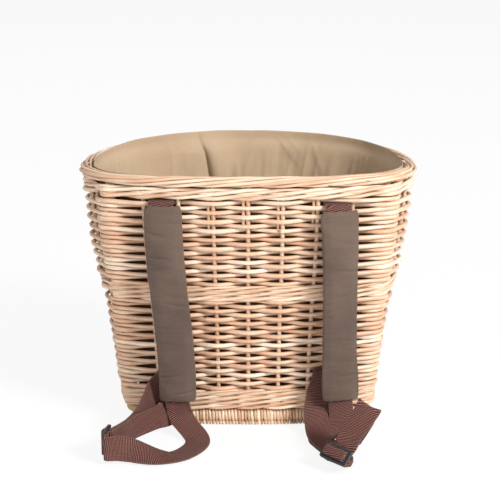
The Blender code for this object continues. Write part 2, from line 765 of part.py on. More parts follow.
@dataclass(frozen=True)
class Strap:
    """One shoulder strap: its slots in the wall, its free routes and its slider's place."""

    name: str
    slots: tuple
    anchor_order: tuple
    pad_shifts: tuple
    loop_route: tuple
    slider_spot: tuple
    slider_along: tuple
    slider_across: tuple
    plies_route: tuple
    sewn_stations: int
    running_route: tuple
    fixed_route: tuple

    @property
    def pad_ends(self):
        """Middles of the pad's head and foot."""
        head_shift, foot_shift = self.pad_shifts
        head = pad_end(self.slots[0], PAD_HEAD_HEIGHT, PAD_HEAD_STANDOFF, head_shift)
        foot = pad_end(self.slots[2], PAD_FOOT_HEIGHT, PAD_FOOT_STANDOFF, foot_shift)
        return head, foot

    @property
    def pad_matrix(self):
        """Placement of the pad: X across it, Z up along it."""
        head, foot = self.pad_ends
        up = (head - foot).normalized()
        across = slot_station(self.slots[0], 0.0).across
        across = (across - up * across.dot(up)).normalized()
        turn = Matrix((across, up.cross(across), up)).transposed()
        return Matrix.Translation((head + foot) / 2) @ turn.to_4x4()

    @property
    def pad_length(self):
        """Length of the pad."""
        head, foot = self.pad_ends
        return (head - foot).length

    @property
    def slider_matrix(self):
        """Placement of the slider: X along the webbing, Y along its bars, Z off its face."""
        along = Vector(self.slider_along).normalized()
        across = Vector(self.slider_across)
        across = (across - along * across.dot(along)).normalized()
        turn = Matrix((along, across, along.cross(across))).transposed()
        return Matrix.Translation(self.slider_spot) @ turn.to_4x4()

    def ply_stations(self, shares):
        """Stations of a ply in the slider, from its table of shares."""
        matrix = self.slider_matrix
        across = matrix.to_3x3().col[1]
        size = WEBBING_THICKNESS
        return [Station(matrix @ Vector((u * size, 0.0, v * size)), across) for u, v in shares]

    def head_stations(self):
        """From the tail inside the wall, out through the head slot and down into the pad."""
        slot = self.slots[0]
        matrix = self.pad_matrix
        across = matrix.to_3x3().col[0]
        half = self.pad_length / 2
        return [
            slot_station(slot, -INSIDE_OFFSET, -STRAP_TAIL),
            slot_station(slot, -INSIDE_OFFSET, -STRAP_BEND),
            slot_station(slot, STRAP_BEND - INSIDE_OFFSET),
            slot_station(slot, OUTSIDE_OFFSET),
            Station(matrix @ Vector((0.0, 1.5 * STRAP_BEND, half + 1.5 * STRAP_BEND)), across),
            Station(matrix @ Vector((0.0, STRAP_BEND / 3, half + STRAP_BEND)), across),
            Station(matrix @ Vector((0.0, 0.0, half)), across),
            Station(matrix @ Vector((0.0, 0.0, -half)), across),
            Station(matrix @ Vector((0.0, 0.0, -half - STRAP_BEND)), across),
        ]

    def anchor_stations(self):
        """In through one anchor slot, along behind the rows and out through the other."""
        first, last = (self.slots[number] for number in self.anchor_order)
        toward = math.copysign(STRAP_BEND, last.height - first.height)
        return [
            slot_station(first, OUTSIDE_OFFSET),
            slot_station(first, STRAP_BEND - INSIDE_OFFSET),
            slot_station(first, -INSIDE_OFFSET, toward),
            slot_station(last, -INSIDE_OFFSET, -toward),
            slot_station(last, STRAP_BEND - INSIDE_OFFSET),
            slot_station(last, OUTSIDE_OFFSET),
        ]

    def stations(self):
        """Every station of the webbing, from its tail to its sewn end."""
        running = self.ply_stations(RUNNING_PLY_SHARES)
        sewn = self.ply_stations(SEWN_PLY_SHARES)
        middle = [sewn[0]] + free_stations(self.plies_route)
        over = shifted(middle, -PLY_PITCH)[1:]
        under = shifted(middle, PLY_PITCH)[1:self.sewn_stations + 1]
        return smoothed(
            self.head_stations() + free_stations(self.loop_route) + running + over
            + free_stations(self.running_route) + self.anchor_stations()
            + free_stations(self.fixed_route) + middle[:0:-1] + sewn + under
        )


STRAPS = (
    Strap(
        "left", LEFT_SLOTS, (1, 2), (LEFT_PAD_HEAD_SHIFT, LEFT_PAD_FOOT_SHIFT), LEFT_LOOP_ROUTE,
        LEFT_SLIDER_SPOT, LEFT_SLIDER_ALONG, LEFT_SLIDER_ACROSS,
        LEFT_PLIES_ROUTE, 2, LEFT_RUNNING_ROUTE, LEFT_FIXED_ROUTE,
    ),
    Strap(
        "right", RIGHT_SLOTS, (2, 1), (RIGHT_PAD_HEAD_SHIFT, RIGHT_PAD_FOOT_SHIFT), RIGHT_LOOP_ROUTE,
        RIGHT_SLIDER_SPOT, RIGHT_SLIDER_ALONG, RIGHT_SLIDER_ACROSS,
        RIGHT_PLIES_ROUTE, 0, RIGHT_RUNNING_ROUTE, RIGHT_FIXED_ROUTE,
    ),
)


def box_mesh(name, size):
    """A box about the origin."""
    shape = bmesh.new()
    bmesh.ops.create_cube(shape, size=1.0, matrix=Matrix.Diagonal((*size, 1.0)))
    mesh = bpy.data.meshes.new(name)
    shape.to_mesh(mesh)
    shape.free()
    return mesh


def cut(thing, name, size, centre, cutters):
    """Cut a box out of an object, in the object's own frame."""
    cutter = bpy.data.objects.new(name, box_mesh(name, size))
    cutters.objects.link(cutter)
    cutter.matrix_world = thing.matrix_world @ Matrix.Translation(centre)
    cutter.display_type = "WIRE"
    cutter.hide_render = True
    modifier = thing.modifiers.new(name, "BOOLEAN")
    modifier.object = cutter
    modifier.solver = "EXACT"


def pad_mesh(name, length):
    """Cage of a long cushion, thick in the middle and thin at its two long edges."""
    shape = bmesh.new()
    bmesh.ops.create_cube(shape, size=1.0, matrix=Matrix.Diagonal((PAD_WIDTH, PAD_THICKNESS, length, 1.0)))
    for axis, cuts in ((2, 7), (0, 3)):
        lines = [
            edge for edge in shape.edges
            if abs((edge.verts[0].co - edge.verts[1].co).normalized()[axis]) > 1 / 2
        ]
        bmesh.ops.subdivide_edges(shape, edges=lines, cuts=cuts, use_grid_fill=True)
    crease = shape.edges.layers.float.new("crease_edge")
    for edge in shape.edges:
        if all(abs(vert.co.z) > length * 0.49 for vert in edge.verts):
            edge[crease] = 1.0
    for vert in shape.verts:
        if abs(vert.co.x) > PAD_WIDTH * 0.49:
            vert.co.y *= PAD_EDGE_SHARE
    mesh = bpy.data.meshes.new(name)
    shape.to_mesh(mesh)
    shape.free()
    return mesh


def make_pad(strap, collection, cutters, material):
    """A strap's padded sleeve, with the slot that the webbing runs through."""
    name = f"pad_{strap.name}"
    pad = add_object(name, pad_mesh(name, strap.pad_length), collection, material)
    pad.matrix_world = strap.pad_matrix
    soft = pad.modifiers.new("soft", "SUBSURF")
    soft.levels = 1
    soft.render_levels = 1
    slot = (WEBBING_WIDTH + 2 * TOUCH_GAP, WEBBING_THICKNESS + 2 * TOUCH_GAP, strap.pad_length + PAD_WIDTH)
    cut(pad, f"{name}_slot", slot, Vector(), cutters)


def make_slider(strap, collection, cutters, material):
    """A strap's flat slider: three bars between two rails."""
    name = f"slider_{strap.name}"
    pitch = SLIDER_BAR + SLIDER_SLOT
    slot_length = WEBBING_WIDTH + 2 * SLIDER_SIDE_GAP
    size = (2 * pitch + SLIDER_BAR, slot_length + 2 * SLIDER_BAR, SLIDER_THICKNESS)
    slider = add_object(name, box_mesh(name, size), collection, material)
    slider.matrix_world = strap.slider_matrix
    for side in (-1, 1):
        centre = Vector((side * pitch / 2, 0.0, 0.0))
        cut(slider, f"{name}_slot", (SLIDER_SLOT, slot_length, 2 * SLIDER_THICKNESS), centre, cutters)
    rounded = slider.modifiers.new("edges", "BEVEL")
    rounded.width = SLIDER_EDGE_RADIUS
    rounded.segments = 1


def make_straps(collection, cutters, webbing, cloth, plastic):
    """Both shoulder straps."""
    for strap in STRAPS:
        name = f"webbing_{strap.name}"
        band(name, strap.stations(), WEBBING_WIDTH, WEBBING_THICKNESS, collection, webbing)
        make_pad(strap, collection, cutters, cloth)
        make_slider(strap, collection, cutters, plastic)


def make_uprights(collection, stake_material, post_material):
    """The stakes and the two corner posts."""
    for place in range(PLACES):
        if place in POST_PLACES:
            side = "left" if place == 0 else "right"
            make_post(f"corner_post_{side}", place, collection, post_material)
        elif place < BACK_PLACES:
            make_stake(f"back_stake_{place}", place, collection, stake_material)
        else:
            make_stake(f"front_stake_{place - BACK_PLACES}", place, collection, stake_material)


def main():
    """Build the basket."""
    clear_scene()
    parts = make_collection(OBJECT_NAME)
    cutters = make_collection(f"{OBJECT_NAME}_cutters")
    weavers = make_material("woven_willow", (0.53, 0.33, 0.18), 0.45)
    wales = make_material("waling_willow", (0.57, 0.37, 0.21), 0.45)
    for zone in ZONES:
        weave_zone(zone, parts, weavers if zone.pattern == 2 else wales)
    stakes = make_material("stake_willow", (0.60, 0.40, 0.23), 0.45)
    posts = make_material("post_willow", (0.62, 0.43, 0.27), 0.5)
    make_uprights(parts, stakes, posts)
    sticks = make_material("base_stick_willow", (0.50, 0.34, 0.20), 0.55)
    make_hoop(parts, sticks)
    make_cross_sticks(parts, sticks)
    make_base_weave(parts, make_material("base_weaver_willow", (0.55, 0.36, 0.21), 0.5))
    make_liner(parts, make_material("liner_cotton", (0.51, 0.38, 0.24), 0.9))
    webbing = make_material("strap_webbing", (0.14, 0.05, 0.038), 0.8)
    cloth = make_material("pad_cloth", (0.205, 0.147, 0.109), 0.85)
    plastic = make_material("slider_plastic", (0.012, 0.012, 0.014), 0.25)
    make_straps(parts, cutters, webbing, cloth, plastic)


main()
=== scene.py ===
"""Dresses the willow pack basket: woven wall, rolled border, cloth liner and two padded shoulder straps.

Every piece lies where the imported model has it, in metres, with +Z up and the flat back panel, which
the straps hang on, towards -Y. A place is a number of stakes round the wall: 0 is the left corner
post, 1 to 7 are the back stakes, 8 is the right corner post, and 9 to 24 are the front stakes.
"""

import logging
import math
import random
from dataclasses import dataclass, field
from enum import Enum
from functools import lru_cache
from typing import Any, Sequence

import bmesh
import bpy
import numpy as np
from mathutils import Matrix, Vector, noise

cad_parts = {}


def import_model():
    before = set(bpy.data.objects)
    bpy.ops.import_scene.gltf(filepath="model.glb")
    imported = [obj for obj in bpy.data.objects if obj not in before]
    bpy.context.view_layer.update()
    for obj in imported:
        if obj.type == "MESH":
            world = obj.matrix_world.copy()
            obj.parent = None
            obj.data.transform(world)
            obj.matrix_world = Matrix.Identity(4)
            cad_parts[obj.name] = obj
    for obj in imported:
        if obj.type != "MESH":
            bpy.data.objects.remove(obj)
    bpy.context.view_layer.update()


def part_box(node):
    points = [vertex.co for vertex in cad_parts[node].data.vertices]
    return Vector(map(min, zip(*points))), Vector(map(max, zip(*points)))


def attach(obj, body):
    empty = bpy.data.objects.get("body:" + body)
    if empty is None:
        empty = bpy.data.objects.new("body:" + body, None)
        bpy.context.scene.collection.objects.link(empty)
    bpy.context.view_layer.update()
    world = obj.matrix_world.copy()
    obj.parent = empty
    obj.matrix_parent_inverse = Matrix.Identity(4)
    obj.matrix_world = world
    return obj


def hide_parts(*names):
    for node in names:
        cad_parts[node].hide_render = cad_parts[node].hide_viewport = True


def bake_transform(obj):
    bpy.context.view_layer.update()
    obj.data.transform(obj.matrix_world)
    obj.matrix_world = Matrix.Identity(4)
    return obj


LOG = logging.getLogger("pack_basket")
BASKET = "basket"
MM = 0.001

BACK_PLACES = 8
PLACES = 25
POST_PLACES = (0, BACK_PLACES)
TOUCH_GAP = 0.0004
STAKE_RADIUS = 0.0025
POST_RADIUS = 0.0055
POST_INSET = 0.0033
WEBBING_WIDTH = 0.030
WEBBING_THICKNESS = 0.0018
PAD_WIDTH = 0.046
PAD_THICKNESS = 0.0125
BASE_HEIGHT = 0.0194
BORDER_START = 0.31026
BORDER_RISE = 0.0012
BORDER_PITCH = 0.0037
LINER_OFFSET = 0.0116
PAD_SPAN = 0.246
FIRST_SEED = 100
WALE_DEEP = (0.60, 0.35, 0.205)
WHITE = (1.0, 1.0, 1.0, 1.0)
# Name of the mesh attribute that carries the painted shade in the liner's folds.
PAINTED_SHADE_ATTRIBUTE = "hollow"

Rod = tuple[list[Vector], list[float], float]

# The webbing's edge-to-edge direction where it keeps one for a while.
UPRIGHT = (0.0, 0.0, -1.0)
SLANTED = (0.74, -0.67, -0.09)
LEVELLED = (0.75, -0.66, -0.06)
LEFT_FLAT = (0.99, -0.16, 0.0)
RIGHT_FLAT = (0.99, 0.16, 0.0)

# Points of the webbing's middle line in millimetres, each with the direction from edge to edge there.
LEFT_ROUTE = (
    (-100.7, -105.0, 264.3, *LEFT_FLAT), (-101.6, -107.4, 289.3, *LEFT_FLAT),
    (-102.2, -110.6, 292.3, *LEFT_FLAT), (-102.4, -128.3, 292.3, *LEFT_FLAT),
    (-102.0, -131.5, 291.8, 0.98, -0.16, 0.07), (-102.5, -134.9, 290.1, 0.98, -0.16, 0.07),
    (-102.4, -135.7, 287.0, 0.98, -0.16, 0.07), (-86.4, -121.2, 42.0, 0.98, -0.16, 0.07),
    (-86.2, -121.0, 39.0, 0.98, -0.16, 0.07), (-84.8, -120.9, 31.1, 1, -0.07, 0.07),
    (-82.0, -123.0, 22.0, 0.99, 0.1, 0.1), (-76.3, -128.5, 15.3, 0.79, 0.55, 0.27),
    (-70.0, -136.0, 10.0, 0.5, 0.8, 0.35), (-64.5, -143.1, 6.0, 0.76, 0.61, 0.23),
    (-61.0, -152.0, 3.4, 0.98, 0.2, 0.05), (-61.2, -163.3, 2.3, 1, -0.01, 0.01),
    (-65.0, -176.0, 2.2, 0.98, -0.2, 0), (-73.5, -190.9, 2.2, 0.89, -0.47, -0.01),
    (-85.0, -204.0, 3.0, 0.71, -0.71, -0.05), (-98.8, -210.9, 5.5, 0.41, -0.89, -0.22),
    (-113.0, -214.0, 8.5, 0.1, -0.91, -0.4), (-125.4, -213.4, 11.3, 0.01, -0.82, -0.57),
    (-136.0, -212.0, 14.0, 0, -0.68, -0.73), (-143.9, -213.0, 16.2, -0.01, -0.52, -0.86),
    (-150.0, -215.0, 18.0, 0, -0.35, -0.94), (-154.6, -218.2, 19.3, 0, -0.21, -0.98),
    (-158.0, -221.5, 20.2, 0, -0.1, -1), (-160.9, -223.7, 20.7, 0, -0.03, -1),
    (-163.2, -225.0, 21.0, *UPRIGHT), (-165.4, -224.9, 21.2, 0, 0.01, -1), (-166.8, -223.6, 21.4, *UPRIGHT),
    (-166.2, -220.8, 21.5, *UPRIGHT), (-165.0, -217.4, 21.5, *UPRIGHT), (-163.4, -211.8, 21.5, *UPRIGHT),
    (-164.1, -210.1, 21.5, *UPRIGHT), (-165.9, -209.4, 21.5, *UPRIGHT), (-167.1, -209.1, 21.5, *UPRIGHT),
    (-170.4, -208.0, 21.5, *UPRIGHT), (-171.0, -206.0, 21.5, *UPRIGHT), (-169.3, -199.4, 21.5, *UPRIGHT),
    (-167.8, -197.9, 21.5, *UPRIGHT), (-164.4, -198.5, 21.5, *UPRIGHT), (-163.2, -198.8, 21.5, *UPRIGHT),
    (-161.3, -199.1, 21.5, *UPRIGHT), (-159.8, -197.9, 21.5, *UPRIGHT), (-159.2, -195.2, 21.5, *UPRIGHT),
    (-155.7, -190.2, 21.7, -0.01, -0.01, -1), (-151.0, -183.6, 22.2, *UPRIGHT),
    (-146.2, -176.2, 22.7, 0.04, 0.04, -1), (-141.1, -167.7, 23.9, 0.1, 0.1, -0.99),
    (-136.0, -158.5, 26.4, 0.15, 0.18, -0.97), (-131.0, -148.0, 30.0, 0.2, 0.25, -0.95),
    (-126.2, -134.5, 35.0, 0.24, 0.3, -0.93), (-121.5, -121.5, 40.5, 0.3, 0.3, -0.9),
    (-117.2, -112.6, 45.3, 0.45, 0.22, -0.87), (-113.0, -106.6, 49.8, 0.6, 0.1, -0.8),
    (-108.4, -104.4, 53.6, 0.7, -0.01, -0.71), (-104.0, -104.0, 57.5, 0.8, -0.1, -0.6),
    (-100.1, -103.9, 62.4, 0.89, -0.14, -0.43), (-97.0, -103.5, 67.0, 0.96, -0.15, -0.25),
    (-95.3, -102.4, 70.6, 0.98, -0.15, -0.1), (-94.1, -99.2, 72.9, 0.99, -0.14, 0),
    (-91.6, -81.5, 72.9, 0.99, -0.14, 0), (-91.0, -78.2, 69.9, 0.99, -0.14, 0),
    (-90.4, -76.4, 47.2, 0.99, -0.14, 0), (-90.7, -79.1, 44.2, 0.99, -0.14, 0),
    (-93.2, -96.8, 44.2, 0.99, -0.14, 0), (-93.5, -99.7, 41.3, 0.99, -0.12, 0.01),
    (-93.5, -101.0, 37.0, 1, -0.1, 0), (-93.5, -103.1, 31.7, 1, -0.06, -0.02),
    (-94.0, -106.2, 26.8, 1, 0, -0.1), (-95.7, -111.6, 24.5, 0.93, 0.1, -0.36),
    (-98.5, -117.8, 23.5, 0.75, 0.2, -0.62), (-102.5, -122.9, 23.5, 0.57, 0.27, -0.77),
    (-108.0, -129.0, 24.0, 0.4, 0.3, -0.87), (-115.7, -138.4, 24.0, 0.28, 0.29, -0.92),
    (-124.0, -149.0, 24.0, 0.2, 0.25, -0.95), (-131.9, -159.3, 24.1, 0.14, 0.18, -0.97),
    (-139.0, -169.0, 24.0, 0.1, 0.1, -0.99), (-144.5, -177.6, 23.1, 0.04, 0.04, -1),
    (-149.0, -185.0, 22.2, *UPRIGHT), (-153.4, -191.3, 21.7, -0.01, -0.01, -1),
    (-156.7, -195.8, 21.5, *UPRIGHT), (-157.1, -197.4, 21.5, *UPRIGHT), (-158.0, -200.4, 21.5, *UPRIGHT),
    (-160.5, -201.8, 21.5, *UPRIGHT), (-165.4, -200.8, 21.5, *UPRIGHT), (-167.3, -201.4, 21.5, *UPRIGHT),
    (-168.2, -205.2, 21.5, *UPRIGHT), (-166.9, -206.6, 21.5, *UPRIGHT), (-164.3, -207.4, 21.5, *UPRIGHT),
    (-161.2, -207.7, 21.5, *UPRIGHT), (-157.8, -204.8, 21.5, *UPRIGHT), (-155.4, -200.9, 21.5, *UPRIGHT),
    (-154.3, -196.4, 21.5, *UPRIGHT), (-151.2, -192.1, 21.7, -0.01, -0.01, -1),
    (-147.0, -186.4, 22.2, *UPRIGHT), (-141.5, -177.7, 23.2, 0.05, 0.05, -1),
    (-136.9, -170.3, 24.1, 0.1, 0.1, -0.99),
)

RIGHT_ROUTE = (
    (100.8, -105.1, 259.8, *RIGHT_FLAT), (101.6, -107.5, 284.8, *RIGHT_FLAT),
    (102.2, -110.8, 287.8, *RIGHT_FLAT), (105.0, -128.4, 287.8, *RIGHT_FLAT),
    (106.2, -131.3, 286.1, 0.99, 0.15, 0.03), (106.8, -134.6, 284.4, 0.99, 0.15, 0.03),
    (107.0, -135.4, 281.3, 0.99, 0.15, 0.03), (112.6, -117.6, 42.0, 0.99, 0.15, 0.03),
    (112.7, -117.4, 39.0, 0.99, 0.15, 0.03), (113.0, -117.3, 33.7, 1, 0.09, 0.02),
    (113.5, -118.6, 27.0, 1, 0, 0), (113.8, -124.0, 19.6, 1, -0.1, -0),
    (111.9, -133.0, 13.0, 0.98, -0.2, 0), (112.6, -144.1, 9.0, 0.95, -0.3, 0.02),
    (115.0, -153.0, 7.4, 0.92, -0.4, 0.03), (117.7, -162.2, 8.6, 0.88, -0.47, -0.03),
    (120.9, -171.0, 13.0, 0.85, -0.51, -0.1), (124.2, -178.6, 21.9, 0.81, -0.56, -0.16),
    (129.3, -185.0, 33.0, 0.8, -0.57, -0.19), (135.0, -189.5, 45.2, 0.79, -0.57, -0.24),
    (139.3, -193.0, 56.0, 0.78, -0.56, -0.31), (141.6, -195.9, 61.9, 0.76, -0.54, -0.36),
    (141.4, -199.0, 64.0, 0.76, -0.54, -0.37), (139.9, -203.5, 61.6, 0.76, -0.54, -0.37),
    (134.5, -209.0, 56.0, 0.75, -0.56, -0.34), (126.9, -216.0, 47.7, 0.75, -0.58, -0.29),
    (119.2, -223.0, 39.0, 0.74, -0.6, -0.24), (115.2, -228.8, 32.9, 0.74, -0.62, -0.2),
    (112.4, -233.2, 28.5, 0.74, -0.64, -0.17), (108.2, -236.0, 24.4, 0.74, -0.66, -0.13),
    (106.0, -237.4, 24.2, *SLANTED), (104.4, -238.6, 25.4, *SLANTED), (103.9, -239.3, 26.3, *SLANTED),
    (102.3, -241.3, 28.6, *SLANTED), (100.9, -242.8, 28.2, *SLANTED), (97.3, -246.1, 23.5, *SLANTED),
    (96.8, -246.4, 21.4, *SLANTED), (98.1, -244.6, 18.8, *SLANTED), (98.6, -243.9, 17.9, *SLANTED),
    (99.2, -243.0, 16.4, *SLANTED), (99.1, -243.0, 14.7, *SLANTED), (99.0, -243.1, 13.4, *SLANTED),
    (99.3, -242.8, 12.3, *SLANTED), (99.9, -242.2, 11.5, *LEVELLED), (100.6, -241.6, 11.0, *LEVELLED),
    (101.4, -240.9, 10.7, *LEVELLED), (102.1, -240.2, 10.4, *LEVELLED), (102.8, -239.4, 10.1, *LEVELLED),
    (103.4, -238.5, 9.8, *LEVELLED), (103.9, -237.4, 9.5, *LEVELLED), (104.5, -236.1, 9.1, *LEVELLED),
    (105.1, -234.4, 8.5, *LEVELLED), (105.9, -231.7, 7.6, 0.88, -0.47, 0),
    (107.0, -227.0, 6.4, 0.94, -0.33, 0), (107.7, -221.4, 5.2, 0.98, -0.18, 0),
    (107.8, -215.0, 4.1, 1, -0.02, 0), (107.1, -208.3, 3.2, 0.99, 0.12, 0),
    (105.5, -201.0, 2.5, 0.97, 0.24, 0), (102.9, -192.7, 2.2, 0.94, 0.33, 0),
    (99.5, -184.0, 2.3, 0.92, 0.39, 0), (95.5, -175.0, 2.3, 0.92, 0.4, 0),
    (91.5, -166.0, 2.6, 0.93, 0.37, 0), (87.9, -156.9, 2.6, 0.95, 0.32, 0),
    (86.8, -148.0, 3.5, 0.97, 0.24, 0), (84.9, -137.3, 6.1, 0.99, 0.14, 0),
    (84.0, -127.0, 10.0, 1, 0.05, 0), (83.8, -118.6, 15.2, 1, 0.01, 0), (84.8, -111.5, 21.0, 1, 0, 0),
    (87.6, -106.5, 27.2, 1, -0.01, 0), (89.0, -103.5, 33.0, 1, 0, 0), (91.1, -101.5, 37.8, 1, 0.03, 0),
    (92.6, -100.5, 41.5, 1, 0.06, 0), (93.3, -100.0, 44.0, 0.99, 0.1, 0),
    (93.2, -96.9, 45.4, 0.99, 0.14, 0), (90.7, -79.2, 45.4, 0.99, 0.14, 0),
    (90.4, -76.4, 48.4, 0.99, 0.14, 0), (91.1, -78.3, 71.1, 0.99, 0.14, 0),
    (91.6, -81.7, 74.1, 0.99, 0.14, 0), (94.1, -99.3, 74.1, 0.99, 0.14, 0),
    (94.3, -102.6, 72.5, 0.99, 0.1, 0), (93.7, -104.0, 69.0, 1, 0.06, 0), (91.8, -105.5, 62.2, 1, 0.02, 0),
    (89.3, -106.0, 54.0, 1, 0, 0), (86.3, -106.3, 45.9, 1, -0, 0), (85.3, -108.0, 38.0, 1, 0, 0),
    (83.9, -110.8, 31.1, 1, -0, 0), (83.3, -115.5, 25.0, 1, 0, 0), (83.3, -121.1, 19.6, 1, 0.01, 0),
    (83.8, -128.5, 15.0, 1, 0.05, 0), (84.8, -137.7, 10.9, 0.99, 0.14, 0),
    (86.6, -147.8, 7.8, 0.97, 0.24, 0), (87.8, -157.4, 6.0, 0.95, 0.32, 0),
    (91.5, -166.0, 5.0, 0.93, 0.37, 0), (95.5, -175.0, 4.7, 0.92, 0.4, 0),
    (99.5, -184.0, 4.7, 0.92, 0.39, 0), (102.9, -192.7, 4.8, 0.94, 0.33, 0),
    (105.5, -201.0, 5.0, 0.97, 0.24, 0), (107.1, -208.3, 5.8, 0.99, 0.12, 0),
    (107.8, -215.0, 6.8, 1, -0.02, 0), (107.7, -221.3, 7.9, 0.98, -0.18, 0),
    (107.0, -227.0, 9.1, 0.94, -0.33, 0), (105.9, -231.7, 10.3, 0.88, -0.47, 0),
    (104.9, -234.3, 11.0, *LEVELLED), (103.9, -236.4, 11.7, *LEVELLED), (103.1, -237.8, 12.1, *LEVELLED),
    (102.5, -238.7, 12.5, *LEVELLED), (102.0, -239.4, 12.8, *LEVELLED), (101.6, -239.9, 13.1, *LEVELLED),
    (101.3, -240.2, 13.4, *LEVELLED), (101.1, -240.5, 13.7, *LEVELLED), (101.0, -240.7, 14.0, *LEVELLED),
    (100.9, -240.8, 14.3, *LEVELLED), (100.9, -240.8, 14.6, *SLANTED), (101.0, -240.8, 14.9, *SLANTED),
    (101.1, -240.8, 15.3, *SLANTED), (101.2, -241.0, 17.1, *SLANTED), (99.2, -243.6, 20.8, *SLANTED),
    (99.0, -244.1, 22.7, *SLANTED), (101.2, -242.1, 25.4, *SLANTED), (102.4, -240.7, 24.9, *SLANTED),
    (103.6, -239.1, 23.1, *SLANTED), (104.6, -237.7, 20.5, *SLANTED), (104.9, -237.3, 17.6, *SLANTED),
    (105.1, -237.1, 14.9, *SLANTED), (105.2, -237.0, 12.2, *SLANTED),
)


class Finish(Enum):
    """The record's material slots."""

    WEAVERS = "woven_willow"
    WALES = "waling_willow"
    STAKES = "stake_willow"
    POSTS = "post_willow"
    STICKS = "base_stick_willow"
    BASE_WEAVER = "base_weaver_willow"
    LINER = "liner_cotton"
    WEBBING = "strap_webbing"
    PAD = "pad_cloth"
    PLASTIC = "slider_plastic"


@dataclass(frozen=True)
class Graph:
    """A node tree under construction."""

    tree: bpy.types.NodeTree

    def add(self, kind: str, inputs: dict[Any, Any] | None = None, **settings: Any) -> bpy.types.Node:
        """Add a node.

        Args:
            kind: The node's type name.
            inputs: Values or output sockets, by input name or number.
            settings: Values of the node's own properties.

        Returns:
            The new node.
        """
        node = self.tree.nodes.new(kind)
        for name, value in settings.items():
            setattr(node, name, value)
        self.connect(node, inputs or {})
        return node

    def connect(self, node: bpy.types.Node, inputs: dict[Any, Any]) -> None:
        """Link or set a node's inputs, by name or number."""
        for key, value in inputs.items():
            if isinstance(value, bpy.types.NodeSocket):
                self.tree.links.new(value, node.inputs[key])
            else:
                node.inputs[key].default_value = value

    def math(self, operation: str, first: Any, second: Any = 0.0, third: Any = 0.0) -> bpy.types.NodeSocket:
        """Add a Math node and return its output."""
        return self.add("ShaderNodeMath", {0: first, 1: second, 2: third}, operation=operation).outputs[0]

    def scaled(self, value: Any, factor: Any, base: Any) -> bpy.types.NodeSocket:
        """Multiply a value by a factor and add it to a base."""
        return self.math("MULTIPLY_ADD", value, factor, base)

    def vector(self, operation: str, first: Any, second: Any) -> bpy.types.NodeSocket:
        """Add a Vector Math node and return its output."""
        return self.add("ShaderNodeVectorMath", {0: first, 1: second}, operation=operation).outputs[0]

    def ramp(self, value: Any, low: float, high: float) -> bpy.types.NodeSocket:
        """Map a value smoothly from low..high to 0..1."""
        inputs = {"Value": value, "From Min": low, "From Max": high}
        return self.add("ShaderNodeMapRange", inputs, interpolation_type="SMOOTHSTEP").outputs["Result"]

    def noise(self, vector: Any, scale: Any, detail: float = 3.0) -> bpy.types.NodeSocket:
        """Add a noise texture and return its value."""
        inputs = {"Vector": vector, "Scale": scale, "Detail": detail}
        return self.add("ShaderNodeTexNoise", inputs).outputs["Fac"]

    def mix(self, share: Any, first: Any, second: Any) -> bpy.types.NodeSocket:
        """Mix two colours."""
        inputs = {"Factor": share, 6: first, 7: second}
        return self.add("ShaderNodeMix", inputs, data_type="RGBA").outputs[2]

    def seen(self) -> bpy.types.NodeSocket:
        """Whether the camera sees this, straight or through something clear."""
        path = self.add("ShaderNodeLightPath").outputs
        return self.math("MAXIMUM", path["Is Camera Ray"], path["Is Transmission Ray"])


SURFACE = {"Colour": "NodeSocketColor", "Roughness": "NodeSocketFloat", "Height": "NodeSocketFloat"}


def shared_group(name: str, inputs: dict[str, Any]) -> tuple[Graph, Any, Any]:
    """Start a shader node group that gives a surface's colour, roughness and height.

    Args:
        name: The group's name.
        inputs: Default value of each input, a number or a colour.

    Returns:
        The group's graph, its input node's sockets and its output node.
    """
    tree = bpy.data.node_groups.new(name, "ShaderNodeTree")
    for label, value in inputs.items():
        kind = "NodeSocketFloat" if isinstance(value, float) else "NodeSocketColor"
        tree.interface.new_socket(label, in_out="INPUT", socket_type=kind).default_value = value
    for label, kind in SURFACE.items():
        tree.interface.new_socket(label, in_out="OUTPUT", socket_type=kind)
    graph = Graph(tree)
    return graph, graph.add("NodeGroupInput").outputs, graph.add("NodeGroupOutput")


